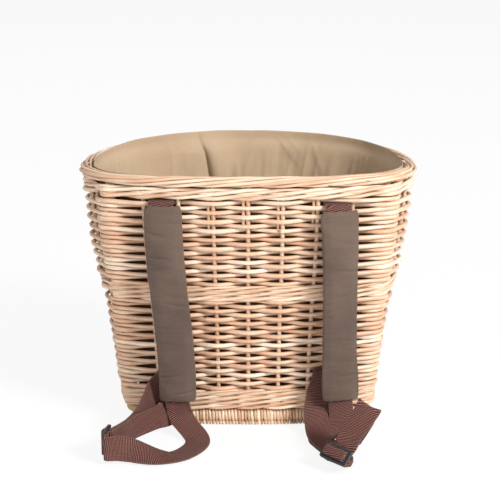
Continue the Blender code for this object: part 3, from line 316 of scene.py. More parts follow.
@lru_cache(maxsize=None)
def willow_group() -> bpy.types.NodeTree:
    """Peeled willow: streaks along the rod, slow changes of tone, and a few dark knots."""
    defaults = {
        "Pale": (0.8, 0.55, 0.33, 1.0), "Deep": (0.6, 0.35, 0.18, 1.0), "Knot": (0.2, 0.1, 0.05, 1.0),
        "Streaks": 0.4, "Gloss": 0.35,
    }
    graph, given, result = shared_group("willow_surface", defaults)
    ring = graph.add("ShaderNodeAttribute", attribute_name="ring").outputs["Vector"]
    along = graph.add("ShaderNodeAttribute", attribute_name="along").outputs["Fac"]
    tint = graph.add("ShaderNodeAttribute", attribute_name="tint").outputs["Fac"]
    shift = graph.scaled(tint, 53.0, along)
    length = graph.add("ShaderNodeCombineXYZ", {"Z": shift}).outputs[0]
    spot = graph.vector("ADD", graph.vector("MULTIPLY", ring, (0.004, 0.004, 0.0)), length)
    stretched = graph.vector("MULTIPLY", spot, (1.0, 1.0, 0.06))
    streak = graph.noise(stretched, 620.0)
    tone = graph.noise(graph.vector("MULTIPLY", spot, (0.3, 0.3, 1.0)), 22.0, 2.0)
    fine = graph.noise(graph.vector("MULTIPLY", spot, (1.0, 1.0, 0.3)), 1500.0, 2.0)
    cells = graph.add("ShaderNodeTexVoronoi", {"Vector": spot, "Scale": 26.0}).outputs["Distance"]
    knot = graph.math("SUBTRACT", 1.0, graph.ramp(cells, 0.045, 0.10))
    deep = graph.math("MULTIPLY", graph.ramp(streak, 0.35, 0.75), given["Streaks"])
    deep = graph.scaled(graph.ramp(tone, 0.38, 0.72), 0.42, deep)
    deep = graph.math("ADD", deep, graph.math("MULTIPLY", tint, 0.75))
    wood = graph.mix(graph.math("MINIMUM", deep, 1.0), given["Pale"], given["Deep"])
    colour = graph.mix(graph.math("MULTIPLY", knot, 0.75), wood, given["Knot"])
    rough = graph.scaled(streak, 0.22, given["Gloss"])
    height = graph.scaled(fine, 0.35, streak)
    height = graph.scaled(knot, 0.6, height)
    graph.connect(result, {"Colour": colour, "Roughness": rough, "Height": height})
    return graph.tree


@lru_cache(maxsize=None)
def cloth_group() -> bpy.types.NodeTree:
    """Plain woven cloth: over and under threads, slubs, slow changes of tone, and painted shade in the
    hollows that the mesh marks.
    """
    defaults = {"Light": (0.5, 0.4, 0.3, 1.0), "Shade": (0.3, 0.2, 0.1, 1.0), "Threads": 1600.0, "Tone": 14.0}
    graph, given, result = shared_group("cloth_surface", defaults)
    uv = graph.add("ShaderNodeUVMap", uv_map="cloth").outputs[0]
    split = graph.add("ShaderNodeSeparateXYZ", {0: uv}).outputs
    wander = graph.noise(uv, 130.0, 2.0)
    across, down = (
        graph.math("SINE", graph.scaled(wander, drift, graph.math("MULTIPLY", split[axis], given["Threads"])))
        for axis, drift in ((0, 2.2), (1, -2.6))
    )
    weave = graph.math("MULTIPLY", across, down)
    slub = graph.noise(graph.vector("MULTIPLY", uv, (0.25, 1.0, 1.0)), 900.0, 2.0)
    tone = graph.noise(uv, given["Tone"])
    shade = graph.scaled(weave, 0.10, 0.22)
    shade = graph.scaled(graph.ramp(slub, 0.45, 0.75), 0.14, shade)
    shade = graph.scaled(graph.ramp(tone, 0.3, 0.75), 0.34, shade)
    colour = graph.mix(shade, given["Light"], given["Shade"])
    # Painted shade: the mesh's hollow attribute darkens the colour to about a third where the liner folds.
    hollow = graph.add("ShaderNodeAttribute", attribute_name=PAINTED_SHADE_ATTRIBUTE).outputs["Fac"]
    colour = graph.mix(hollow, colour, graph.vector("MULTIPLY", colour, (0.30, 0.27, 0.25)))
    rough = graph.scaled(slub, 0.12, 0.80)
    height = graph.scaled(weave, 0.5, slub)
    graph.connect(result, {"Colour": colour, "Roughness": rough, "Height": height})
    return graph.tree


@lru_cache(maxsize=None)
def webbing_group() -> bpy.types.NodeTree:
    """Ribbed webbing: straight ribs crossed by lengthwise rows, and a plain edge; the ribs' tops carry a
    painted highlight, and the flat between ribs and the grooves between rows carry painted shade.
    """
    defaults = {
        "Light": (0.2, 0.08, 0.06, 1.0), "Shade": (0.05, 0.02, 0.01, 1.0), "Edge": (0.34, 0.22, 0.16, 1.0),
        "Rib": 0.0019, "Rows": 11.0,
    }
    graph, given, result = shared_group("webbing_surface", defaults)
    uv = graph.add("ShaderNodeUVMap", uv_map="cloth").outputs[0]
    split = graph.add("ShaderNodeSeparateXYZ", {0: uv}).outputs
    lane = graph.math("PINGPONG", graph.math("MULTIPLY", split[0], given["Rows"]), 0.5)
    slant = graph.scaled(split[0], 0.0050, split[1])
    turn = graph.math("MULTIPLY", graph.math("DIVIDE", slant, given["Rib"]), math.tau)
    rib = graph.scaled(graph.math("SINE", turn), 0.5, 0.5)
    groove = graph.math("SUBTRACT", 1.0, graph.ramp(lane, 0.0, 0.22))
    tone = graph.noise(uv, 40.0, 4.0)
    fuzz = graph.noise(graph.vector("MULTIPLY", uv, (30.0, 900.0, 1.0)), 1.0, 3.0)
    raised = graph.ramp(rib, 0.45, 1.0)
    # Painted highlight and shade: raised rib tops take the Light colour, the flat between ribs the Shade
    # colour, and the grooves between rows are painted darker.
    shade = graph.scaled(raised, -0.92, 0.90)
    shade = graph.scaled(groove, 0.30, shade)
    shade = graph.scaled(tone, 0.2, graph.scaled(fuzz, 0.16, shade))
    band = graph.mix(graph.math("SUBTRACT", shade, 0.12), given["Light"], given["Shade"])
    rim = graph.math("ABSOLUTE", graph.math("SUBTRACT", split[0], 0.5))
    rim = graph.math("MULTIPLY", graph.ramp(rim, 0.474, 0.488), graph.scaled(raised, 0.6, 0.12))
    colour = graph.mix(rim, band, given["Edge"])
    rough = graph.scaled(rib, -0.18, 0.72)
    height = graph.scaled(groove, -0.4, raised)
    graph.connect(result, {"Colour": colour, "Roughness": rough, "Height": height})
    return graph.tree


def new_material(name: str) -> tuple[bpy.types.Material, Graph, bpy.types.Node]:
    """Make a material, and give its graph and its shader with it."""
    material = bpy.data.materials.new(name)
    material.use_nodes = True
    return material, Graph(material.node_tree), material.node_tree.nodes["Principled BSDF"]


def surface_material(name: str, tree: bpy.types.NodeTree, inputs: dict[str, Any], bump: tuple[float, float],
                     constants: dict[str, Any]) -> bpy.types.Material:
    """Make a Principled material whose colour, roughness and bump come from a shared group.

    Args:
        name: The material's name.
        tree: The shared group.
        inputs: The group's values in this material.
        bump: Strength and distance of the bump.
        constants: Values set on the shader's own sockets.

    Returns:
        The material.
    """
    material, graph, shader = new_material(name)
    group = graph.add("ShaderNodeGroup", inputs, node_tree=tree).outputs
    relief = {"Height": group["Height"], "Strength": bump[0], "Distance": bump[1]}
    graph.connect(shader, {
        "Base Color": group["Colour"], "Roughness": group["Roughness"],
        "Normal": graph.add("ShaderNodeBump", relief).outputs[0], **constants,
    })
    return material


@dataclass(frozen=True)
class WillowFinish:
    """Peeled willow of one tone."""

    slot: Finish
    pale: tuple[float, float, float] = (0.93, 0.77, 0.61)
    deep: tuple[float, float, float] = (0.64, 0.38, 0.235)
    streaks: float = 0.42
    gloss: float = 0.27
    coat: float = 0.25

    @lru_cache(maxsize=None)
    def material(self) -> bpy.types.Material:
        """Build the material."""
        inputs = {
            "Pale": (*self.pale, 1.0), "Deep": (*self.deep, 1.0), "Knot": (0.13, 0.06, 0.028, 1.0),
            "Streaks": self.streaks, "Gloss": self.gloss,
        }
        constants = {"Coat Weight": self.coat, "Coat Roughness": 0.3, "Specular IOR Level": 0.45}
        return surface_material(self.slot.value, willow_group(), inputs, (0.35, 0.0004), constants)


@dataclass(frozen=True)
class ClothFinish:
    """Plain woven cloth."""

    slot: Finish
    light: tuple[float, float, float]
    shade: tuple[float, float, float]
    threads: float
    sheen: float = 0.15
    # Colour of the painted shade on the back face, if any.
    painted_back_shade: tuple[float, float, float] | None = None

    @lru_cache(maxsize=None)
    def material(self) -> bpy.types.Material:
        """Build the material, with painted shade on its back face if the finish has a colour for it."""
        inputs = {"Light": (*self.light, 1.0), "Shade": (*self.shade, 1.0), "Threads": self.threads}
        constants = {"Sheen Weight": self.sheen, "Sheen Roughness": 0.5, "Specular IOR Level": 0.2}
        material = surface_material(self.slot.value, cloth_group(), inputs, (0.4, 0.0003), constants)
        if self.painted_back_shade:
            graph = Graph(material.node_tree)
            shader = material.node_tree.nodes["Principled BSDF"]
            face = shader.inputs["Base Color"].links[0].from_socket
            # Painted shade: faces seen from behind, through the weave's gaps, take the dark colour.
            back = graph.add("ShaderNodeNewGeometry").outputs["Backfacing"]
            graph.connect(shader, {"Base Color": graph.mix(back, face, (*self.painted_back_shade, 1.0))})
        return material


@dataclass(frozen=True)
class WebbingFinish:
    """Ribbed strap webbing, with a painted highlight on its ribs and painted shade between them."""

    slot: Finish
    light: tuple[float, float, float]
    shade: tuple[float, float, float]

    @lru_cache(maxsize=None)
    def material(self) -> bpy.types.Material:
        """Build the material."""
        inputs = {"Light": (*self.light, 1.0), "Shade": (*self.shade, 1.0)}
        constants = {"Sheen Weight": 0.06, "Sheen Roughness": 0.4, "Specular IOR Level": 0.3}
        return surface_material(self.slot.value, webbing_group(), inputs, (0.85, 0.0007), constants)


@dataclass(frozen=True)
class PlasticFinish:
    """Moulded black plastic with a faint grain and fine rubs."""

    slot: Finish
    colour: tuple[float, float, float] = (0.020, 0.021, 0.025)

    @lru_cache(maxsize=None)
    def material(self) -> bpy.types.Material:
        """Build the material."""
        material, graph, shader = new_material(self.slot.value)
        spot = graph.add("ShaderNodeTexCoord").outputs["Object"]
        rub = graph.noise(graph.vector("MULTIPLY", spot, (1.0, 0.2, 1.0)), 900.0, 3.0)
        grain = graph.noise(spot, 2600.0, 2.0)
        colour = graph.mix(graph.ramp(rub, 0.5, 0.8), (*self.colour, 1.0), (0.09, 0.09, 0.10, 1.0))
        bump = graph.add("ShaderNodeBump", {"Height": grain, "Strength": 0.15, "Distance": 0.0002})
        rough = graph.scaled(rub, 0.25, 0.22)
        graph.connect(shader, {"Base Color": colour, "Roughness": rough, "Normal": bump.outputs[0]})
        return material


@lru_cache(maxsize=None)
def sweep_tree() -> bpy.types.NodeTree:
    """Geometry nodes that turn lines of points into smooth round rods of the points' own thickness."""
    tree = bpy.data.node_groups.new("rod_sweep", "GeometryNodeTree")
    kinds = {"Geometry": "Geometry", "Sides": "Int", "Steps": "Int", "Material": "Material"}
    for label, kind in kinds.items():
        tree.interface.new_socket(label, in_out="INPUT", socket_type=f"NodeSocket{kind}")
    tree.interface.new_socket("Geometry", in_out="OUTPUT", socket_type="NodeSocketGeometry")
    graph = Graph(tree)
    given = graph.add("NodeGroupInput").outputs
    line = graph.add("GeometryNodeMeshToCurve", {0: given["Geometry"]}).outputs[0]
    line = graph.add("GeometryNodeCurveSplineType", {0: line}, spline_type="CATMULL_ROM").outputs[0]
    fine = {"Geometry": line, "Resolution": given["Steps"]}
    line = graph.add("GeometryNodeSetSplineResolution", fine).outputs[0]
    named = graph.add("GeometryNodeInputNamedAttribute", {"Name": "thickness"}, data_type="FLOAT")
    thickness = named.outputs["Attribute"]
    unit = {"Resolution": given["Sides"], "Radius": 1.0}
    circle = graph.add("GeometryNodeCurvePrimitiveCircle", unit).outputs[0]
    spot = graph.add("GeometryNodeInputPosition").outputs[0]
    stored = {"Geometry": circle, "Name": "ring", "Value": spot}
    circle = graph.add("GeometryNodeStoreNamedAttribute", stored, data_type="FLOAT_VECTOR").outputs[0]
    swept = {"Curve": line, "Profile Curve": circle, "Scale": thickness, "Fill Caps": True}
    solid = graph.add("GeometryNodeCurveToMesh", swept).outputs[0]
    solid = graph.add("GeometryNodeRealizeInstances", {0: solid}).outputs[0]
    dressed = {"Geometry": solid, "Material": given["Material"]}
    solid = graph.add("GeometryNodeSetMaterial", dressed).outputs[0]
    graph.add("NodeGroupOutput", {0: solid})
    return tree


def link_object(name: str, mesh: bpy.types.Mesh) -> bpy.types.Object:
    """Put a mesh into the scene as an object."""
    made = bpy.data.objects.new(name, mesh)
    bpy.context.scene.collection.objects.link(made)
    return made


def applied(source: bpy.types.Object, name: str) -> bpy.types.Object:
    """Turn an object with modifiers into a plain mesh object.

    Args:
        source: The object, which is removed.
        name: The new object's name.

    Returns:
        The plain object, at the origin.
    """
    bpy.context.view_layer.update()
    evaluated = source.evaluated_get(bpy.context.evaluated_depsgraph_get())
    mesh = bpy.data.meshes.new_from_object(evaluated)
    mesh.transform(source.matrix_world)
    bpy.data.objects.remove(source, do_unlink=True)
    mesh.name = name
    mesh.shade_smooth()
    return link_object(name, mesh)


def swept_rods(name: str, rods: Sequence[Rod], material: bpy.types.Material, sides: int = 10,
               steps: int = 5) -> bpy.types.Object:
    """Sweep rods along lines of points.

    Args:
        name: The piece's name.
        rods: For each rod its points, its radius at each, and its tint from 0 to 1.
        material: The rods' material.
        sides: Facets round a rod.
        steps: Segments from one point to the next.

    Returns:
        One object that holds all the rods.
    """
    spots: list[Vector] = []
    edges: list[tuple[int, int]] = []
    values: dict[str, list[float]] = {"thickness": [], "along": [], "tint": []}
    for points, radii, tint in rods:
        first = len(spots)
        edges += [(first + index, first + index + 1) for index in range(len(points) - 1)]
        spots += points
        steps_between = [(b - a).length for a, b in zip(points, points[1:])]
        values["along"] += [float(v) for v in np.concatenate([[0.0], np.cumsum(steps_between)])]
        values["thickness"] += radii
        values["tint"] += [tint] * len(points)
    mesh = bpy.data.meshes.new(f"{name}_lines")
    mesh.from_pydata(spots, edges, [])
    for label, numbers in values.items():
        mesh.attributes.new(label, "FLOAT", "POINT").data.foreach_set("value", numbers)
    lines = link_object(f"{name}_lines", mesh)
    modifier = lines.modifiers.new("sweep", "NODES")
    modifier.node_group = sweep_tree()
    sockets = sweep_tree().interface.items_tree
    inputs = {item.name: item.identifier for item in sockets if item.in_out == "INPUT"}
    for label, value in (("Sides", sides), ("Steps", steps), ("Material", material)):
        modifier[inputs[label]] = value
    return applied(lines, name)


def grid_mesh(name: str, rows: np.ndarray, uv: np.ndarray, material: bpy.types.Material,
              caps: bool = False) -> bpy.types.Object:
    """Make a smooth skin through rows of points, each row a closed ring.

    Args:
        name: The piece's name.
        rows: Points, as rows by columns by 3.
        uv: Cloth coordinates in metres, as rows by columns by 2, with one column more.
        material: The skin's material.
        caps: Whether the first and last rows are filled.

    Returns:
        The object.
    """
    count, columns = rows.shape[:2]
    faces = []
    corners = []
    for row in range(count - 1):
        for column in range(columns):
            after = (column + 1) % columns
            here = row * columns
            faces.append((here + column, here + after, here + columns + after, here + columns + column))
            for r, c in ((row, column), (row, column + 1), (row + 1, column + 1), (row + 1, column)):
                corners.append(uv[r, c])
    if caps:
        faces += [tuple(range(columns))[::-1], tuple(range((count - 1) * columns, count * columns))]
        corners += [uv[0, c] for c in range(columns)][::-1] + [uv[-1, c] for c in range(columns)]
    mesh = bpy.data.meshes.new(name)
    mesh.from_pydata(rows.reshape(-1, 3).tolist(), [], faces)
    mesh.uv_layers.new(name="cloth").data.foreach_set("uv", np.array(corners, np.float32).ravel())
    mesh.materials.append(material)
    mesh.shade_smooth()
    return link_object(name, mesh)


def place_piece(piece: bpy.types.Object, body: str, slot: Finish, *nodes: str) -> bpy.types.Object:
    """Put a piece on the body that it rides on, and hide the nodes that it stands for."""
    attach(piece, body)
    if nodes:
        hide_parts(*nodes)
    LOG.info("%s: %d faces", piece.name, len(piece.data.polygons))
    return piece


def clamp(value: float) -> float:
    """A value kept from 0 to 1."""
    return max(0.0, min(1.0, value))


def bell(distance: float, width: float) -> float:
    """A smooth hump, 1 at no distance."""
    return math.exp(-((distance / width) ** 2))


@dataclass(frozen=True)
class Wall:
    """The wall's middle surface: flat-backed, round in front, and flared towards the rim."""

    half_width: tuple[float, float] = (0.1500, 0.1945)
    depth: tuple[float, float] = (0.0875, 0.1265)
    post_x: tuple[float, float] = (0.1450, 0.1670)
    setback: float = 0.0480
    roundness: tuple[float, float] = (2.7, 2.15)
    height: float = 0.3120
    flare: tuple[tuple[float, float], ...] = (
        (0.0, 0.0), (0.20, 0.11), (0.46, 0.36), (0.61, 0.60), (0.77, 0.79), (1.0, 0.97),
    )
    slot_half: float = 0.0185
    levels: int = 96
    top_level: float = 0.345
    samples: int = 16

    def sizes(self, height: float) -> tuple[float, float, float]:
        """Half width, depth and post X at a height."""
        heights, shares = zip(*self.flare)
        share = float(np.interp(height / self.height, heights, shares))
        return tuple(low + (high - low) * share for low, high in (self.half_width, self.depth, self.post_x))

    def quarter(self, half: float, depth: float, power: float, sign: float, count: int = 160) -> np.ndarray:
        """Points of the right side from its widest place to the middle of the front or the back."""
        angles = np.linspace(0.0, math.pi / 2, count)
        x = half * np.clip(np.cos(angles), 0, 1) ** (2 / power)
        y = (depth + sign * self.setback) * np.clip(np.sin(angles), 0, 1) ** (2 / power)
        return np.column_stack([x, -self.setback + sign * y])

    def level(self, height: float) -> np.ndarray:
        """X, Y and outward X, Y at every sample of every place, at one height."""
        half, depth, post = self.sizes(height)
        back_power, front_power = self.roundness
        deep = depth - self.setback
        gap_half = max(post / BACK_PLACES, self.slot_half)
        middle = (BACK_PLACES - 3) * post / BACK_PLACES
        knots = (0, 1, 2, BACK_PLACES - 2, BACK_PLACES - 1, BACK_PLACES)
        values = (-post, -middle - gap_half, -middle + gap_half, middle - gap_half, middle + gap_half, post)
        back = np.interp(np.arange(BACK_PLACES * self.samples) / self.samples, knots, values)
        back_y = -self.setback - deep * (1 - np.abs(back / half) ** back_power) ** (1 / back_power)
        side = self.quarter(half, depth, back_power, -1.0)
        side = side[side[:, 0] > post]
        post_y = -self.setback - deep * (1 - (post / half) ** back_power) ** (1 / back_power)
        right = np.vstack([[[post, post_y]], side[::-1], self.quarter(half, depth, front_power, 1.0)[1:]])
        line = np.vstack([right, right[-2::-1] * (-1.0, 1.0)])
        reach = np.concatenate([[0.0], np.cumsum(np.linalg.norm(np.diff(line, axis=0), axis=1))])
        along = np.linspace(0.0, reach[-1], (PLACES - BACK_PLACES) * self.samples + 1)[:-1]
        front = np.column_stack([np.interp(along, reach, line[:, 0]), np.interp(along, reach, line[:, 1])])
        xy = np.vstack([np.column_stack([back, back_y]), front])
        away = xy[:, 1] + self.setback
        power = np.where(away < 0, back_power, front_power)
        size = np.where(away < 0, deep, depth + self.setback)
        normal = np.column_stack([
            np.sign(xy[:, 0]) * np.abs(xy[:, 0] / half) ** (power - 1) / half,
            np.sign(away) * np.abs(away / size) ** (power - 1) / size,
        ])
        return np.hstack([xy, normal / np.linalg.norm(normal, axis=1, keepdims=True)])

    @lru_cache(maxsize=None)
    def table(self) -> np.ndarray:
        """The level at every stored height."""
        return np.array([self.level(z) for z in np.linspace(0.0, self.top_level, self.levels)])

    def spots(self, places: np.ndarray, heights: np.ndarray, offsets: np.ndarray | float) -> np.ndarray:
        """Points of the wall.

        Args:
            places: Places round the wall.
            heights: Heights above the floor.
            offsets: Distances outward from the middle surface.

        Returns:
            The points, with one more axis of length 3.
        """
        places, heights = np.broadcast_arrays(np.asarray(places, float), np.asarray(heights, float))
        table = self.table()
        count = table.shape[1]
        across = (places % PLACES) * self.samples
        left = np.floor(across).astype(int)
        part = (across - left)[..., None]
        rise = np.clip(heights / self.top_level, 0, 1) * (self.levels - 1)
        low = np.minimum(np.floor(rise).astype(int), self.levels - 2)
        share = (rise - low)[..., None]
        here, after = left % count, (left + 1) % count
        lower = table[low, here] * (1 - part) + table[low, after] * part
        upper = table[low + 1, here] * (1 - part) + table[low + 1, after] * part
        mixed = lower * (1 - share) + upper * share
        xy = mixed[..., :2] + mixed[..., 2:] * np.asarray(offsets, float)[..., None]
        return np.concatenate([xy, heights[..., None]], axis=-1)

    def spot(self, place: float, height: float, offset: float = 0.0) -> Vector:
        """One point of the wall."""
        return Vector(self.spots(np.array(place), np.array(height), np.array(offset)).tolist())

    def clearance(self, place: int, radius: float) -> float:
        """Distance of a weaver's middle from the middle surface where it passes an upright."""
        post = place % PLACES in POST_PLACES
        clear = (POST_RADIUS if post else STAKE_RADIUS) + radius
        foot = self.table()[0]
        rows = [foot[((place + step) % PLACES) * self.samples] for step in (-1, 0, 1)]
        leans = []
        for one, two in zip(rows, rows[1:]):
            turn = math.acos(min(1.0, float(np.dot(one[2:], two[2:]))))
            leans.append(2 * clear / float(np.linalg.norm(two[:2] - one[:2])) + turn / 2)
        return clear / math.cos(max(leans)) - (POST_INSET if post else 0.0)


WALL = Wall()


def wander(seed: float, along: float, scale: float = 1.0) -> float:
    """Smooth noise from about -1 to 1 along a line."""
    return noise.noise(Vector((seed * 7.31, along, seed * 1.93))) * scale * 1.6


SLOT_HEIGHTS = ((0.2927, 0.0733, 0.0447), (0.28696, 0.0733, 0.0447))


@dataclass(frozen=True)
class Run:
    """One rod's run: its round, its first and last step, and whether its tip comes first."""

    phase: int
    begin: int
    end: int
    flip: bool
    seed: int

    def share(self, step: int) -> float:
        """Share of the rod's length from butt to tip at a step."""
        share = (step - self.begin) / max(1, self.end - self.begin)
        return 1 - share if self.flip else share


@dataclass(frozen=True)
class Weaving:
    """A band of rows that climbs as it goes round the wall."""

    node: str
    slot: Finish
    rows: int
    radius: float
    start: float
    row_gap: float = 0.00094
    phases: int = 1
    rod_places: tuple[int, int] = (13, 19)
    tuck_places: float = 0.42
    tuck_offset: float = -0.0052
    slot_half: float = 0.0024
    slot_row: float = 0.00574
    slot_push: tuple[float, float] = (0.00093, 0.00049)

    @property
    def pitch(self) -> float:
        """Height from one row to the next."""
        return 2 * self.radius + self.row_gap

    def height(self, step: float) -> float:
        """Height of the band's middle line after a number of places."""
        return self.start + self.pitch * step / PLACES

    def rods(self, seed: int) -> list[Rod]:
        """The band's rods, each round's laid end to end.

        Args:
            seed: Seed of the rods' lengths, thicknesses and tints.

        Returns:
            The rods.
        """
        draw = random.Random(seed)
        rods: list[Rod] = []
        total = self.rows * PLACES - 1
        for phase in range(self.phases):
            begin = 0
            while begin < total - 1:
                end = min(total, begin + draw.randint(*self.rod_places))
                while end < total and not self.may_end(end, phase):
                    end += 1
                points, radii = self.lay(Run(phase, begin, end, draw.random() < 0.5, seed))
                self.tuck(points, radii, begin, end)
                rods.append((points, radii, draw.random()))
                begin = end
        return rods

    def tuck(self, points: list[Vector], radii: list[float], begin: int, end: int) -> None:
        """Tuck a rod's end in behind the wall where the band starts or stops beside the left post."""
        if begin == 0:
            points.insert(0, WALL.spot(-self.tuck_places, self.height(0), self.tuck_offset))
            radii.insert(0, radii[0])
        if end == self.rows * PLACES - 1:
            points.append(WALL.spot(end % PLACES + self.tuck_places, self.height(end), self.tuck_offset))
            radii.append(radii[-1])

    def parting(self, place: int, height: float) -> float:
        """How far the webbing in a slot pushes a row up or down at a place."""
        moved = 0.0
        for first in (1, BACK_PLACES - 2):
            if place not in (first, first + 1):
                continue
            for slot_height in SLOT_HEIGHTS[first > 1]:
                away = height - slot_height
                rows_off = round((abs(away) - self.slot_half) / self.slot_row)
                moved += math.copysign(max(0.0, self.slot_push[0] - rows_off * self.slot_push[1]), away)
        return moved


@dataclass(frozen=True)
class Randing(Weaving):
    """Rods that go in front of one stake and behind the next, each tapering from butt to tip."""

    butt_share: float = 1.19
    tip_share: float = 0.92
    corner_share: float = 1.06
    shoulder_places: float = 0.24
    shoulder_share: float = 0.80

    def lay(self, run: Run) -> tuple[list[Vector], list[float]]:
        """One rod's points and radii, with one more point on each side of a corner post."""
        points, radii = [], []
        for step in range(run.begin, run.end + 1):
            thick = self.butt_share + (self.tip_share - self.butt_share) * run.share(step)
            thick *= 1 + wander(run.seed + run.begin, step * 0.9, 0.05)
            radius = self.radius * thick
            corner = step % PLACES in POST_PLACES
            if corner and step > run.begin:
                points.append(self.shoulder(step, -self.shoulder_places, radius, run.seed))
                radii.append(radius)
            points.append(self.point(step, radius, run.seed))
            radii.append(radius * (self.corner_share if corner else 1.0))
            if corner and step < run.end:
                points.append(self.shoulder(step, self.shoulder_places, radius, run.seed))
                radii.append(radius)
        return points, radii

    def may_end(self, step: int, phase: int) -> bool:
        """Whether a rod may end at a step, in any phase: only inside the wall, out of sight."""
        return self.is_behind(step)

    def shoulder(self, step: int, side: float, radius: float, seed: int) -> Vector:
        """A point beside a corner post, where the rod still hugs it."""
        here = self.point(step, radius, seed)
        after = self.point(step + (1 if side > 0 else -1), radius, seed)
        height = here.z + (after.z - here.z) * abs(side)
        place = step % PLACES
        return WALL.spot(place + side, height, WALL.clearance(place, radius) * self.shoulder_share)

    def is_behind(self, step: int) -> bool:
        """Whether the weaver is inside the stake at a step."""
        turns, place = divmod(step, PLACES)
        if place in POST_PLACES:
            return False
        met = turns * (PLACES - 2) + (place - 1 if place < BACK_PLACES else place - 2)
        return met % 2 == 1

    def point(self, step: int, radius: float, seed: int) -> Vector:
        """Middle of the weaver at an upright."""
        place = step % PLACES
        height = self.height(step)
        height += self.parting(place, height) + wander(seed + 3.7, step * 0.63, 0.00045)
        offset = WALL.clearance(place, radius) + wander(seed + 9.1, step * 1.7, 0.0002)
        return WALL.spot(place, height, -offset if self.is_behind(step) else offset)


@dataclass(frozen=True)
class Waling(Weaving):
    """Three rods that pass in front of two stakes and behind one, each rising over the next."""

    phases: int = 3
    rod_places: tuple[int, int] = (14, 22)
    rise: float = 0.0021
    rod_radius: float = 0.00195
    climb: float = 1.0
    swell: float = 0.0012
    taper: tuple[float, float] = (1.14, 0.3)

    def height(self, step: float) -> float:
        """Height of a round, which climbs by a share of the pitch and makes up the rest at its end."""
        turns, place = divmod(step, PLACES)
        late = max(0.0, place - PLACES + 3) / 3
        return self.start + self.pitch * (turns + self.climb * place / PLACES + (1 - self.climb) * late)

    def lay(self, run: Run) -> tuple[list[Vector], list[float]]:
        """One rod's points and radii, at the uprights and halfway between them."""
        points, radii = [], []
        for step in range(run.begin, run.end + 1):
            radius = self.rod_radius * (self.taper[0] - self.taper[1] * run.share(step))
            points.append(self.point(step, run.phase, radius, run.seed))
            radii.append(radius)
            if step < run.end:
                points.append(self.between(step, run.phase, radius))
                radii.append(radius)
        return points, radii

    def may_end(self, step: int, phase: int) -> bool:
        """Whether a rod may end at a step: only where it passes behind."""
        return (step - phase) % 3 == 0

    def point(self, step: int, phase: int, radius: float, seed: int) -> Vector:
        """Middle of a rod at an upright."""
        place = step % PLACES
        cycle = (step - phase) % 3
        lift = (0.0, -self.rise, self.rise)[cycle]
        height = self.height(step)
        height += self.parting(place, height) + lift + wander(seed + phase, step * 0.5, 0.0003)
        clear = WALL.clearance(place, radius)
        if cycle == 0 and place not in POST_PLACES:
            return WALL.spot(place, height, -clear)
        return WALL.spot(place, height, clear + (0.0006 if cycle == 1 else 0.0))

    def between(self, step: int, phase: int, radius: float) -> Vector:
        """Middle of a rod halfway to the next upright."""
        cycle = (step - phase) % 3
        lift = (-0.75, 0.0, 0.75)[cycle] * self.rise
        offset = (self.swell, STAKE_RADIUS + radius + self.swell, self.swell)[cycle]
        height = self.height(step + 0.5) + self.parting(step % PLACES, self.height(step)) + lift
        return WALL.spot(step % PLACES + 0.5, height, offset)


WEAVINGS: tuple[Weaving, ...] = (
    Waling("bottom_wale", Finish.WALES, 4, 0.0026, 0.0224),
    Randing("lower_randing", Finish.WEAVERS, 21, 0.0024, 0.04682),
    Waling("middle_wale", Finish.WALES, 3, 0.0026, 0.16756),
    Randing("upper_randing", Finish.WEAVERS, 19, 0.0024, 0.18584),
    Waling("top_wale", Finish.WALES, 2, 0.0026, 0.2982, rise=0.0023, rod_radius=0.0021, climb=0.25),
)


@dataclass(frozen=True)
class Border:
    """The rim: each stake's end is bent over and runs on outside, over and then inside its neighbours."""

    roll: tuple[tuple[float, float], ...] = (
        (0.0, 0.0), (1.6, 0.25), (2.5, 1.35), (1.5, 2.2), (0.3, 2.45), (-0.8, 1.9),
    )
    thick: float = 0.0023
    thin: float = 0.00155

    def point(self, place: float, passed: float) -> Vector:
        """A point of a stake's end, a number of spacings after the stake."""
        index = min(int(passed), len(self.roll) - 2)
        part = passed - index
        out, up = (a + (b - a) * part for a, b in zip(self.roll[index], self.roll[index + 1]))
        height = BORDER_START + BORDER_RISE + BORDER_PITCH * up
        return WALL.spot(place, height, BORDER_PITCH * out)

    def tail(self, place: int) -> list[Vector]:
        """The bent end of a stake, past the stakes after it and any post that it meets."""
        points, passed, here = [], 0, place
        while passed < len(self.roll) - 1:
            here += 1
            if here % PLACES in POST_PLACES:
                points.append(self.point(here, passed + 0.5))
                continue
            passed += 1
            points.append(self.point(here, passed))
        return points


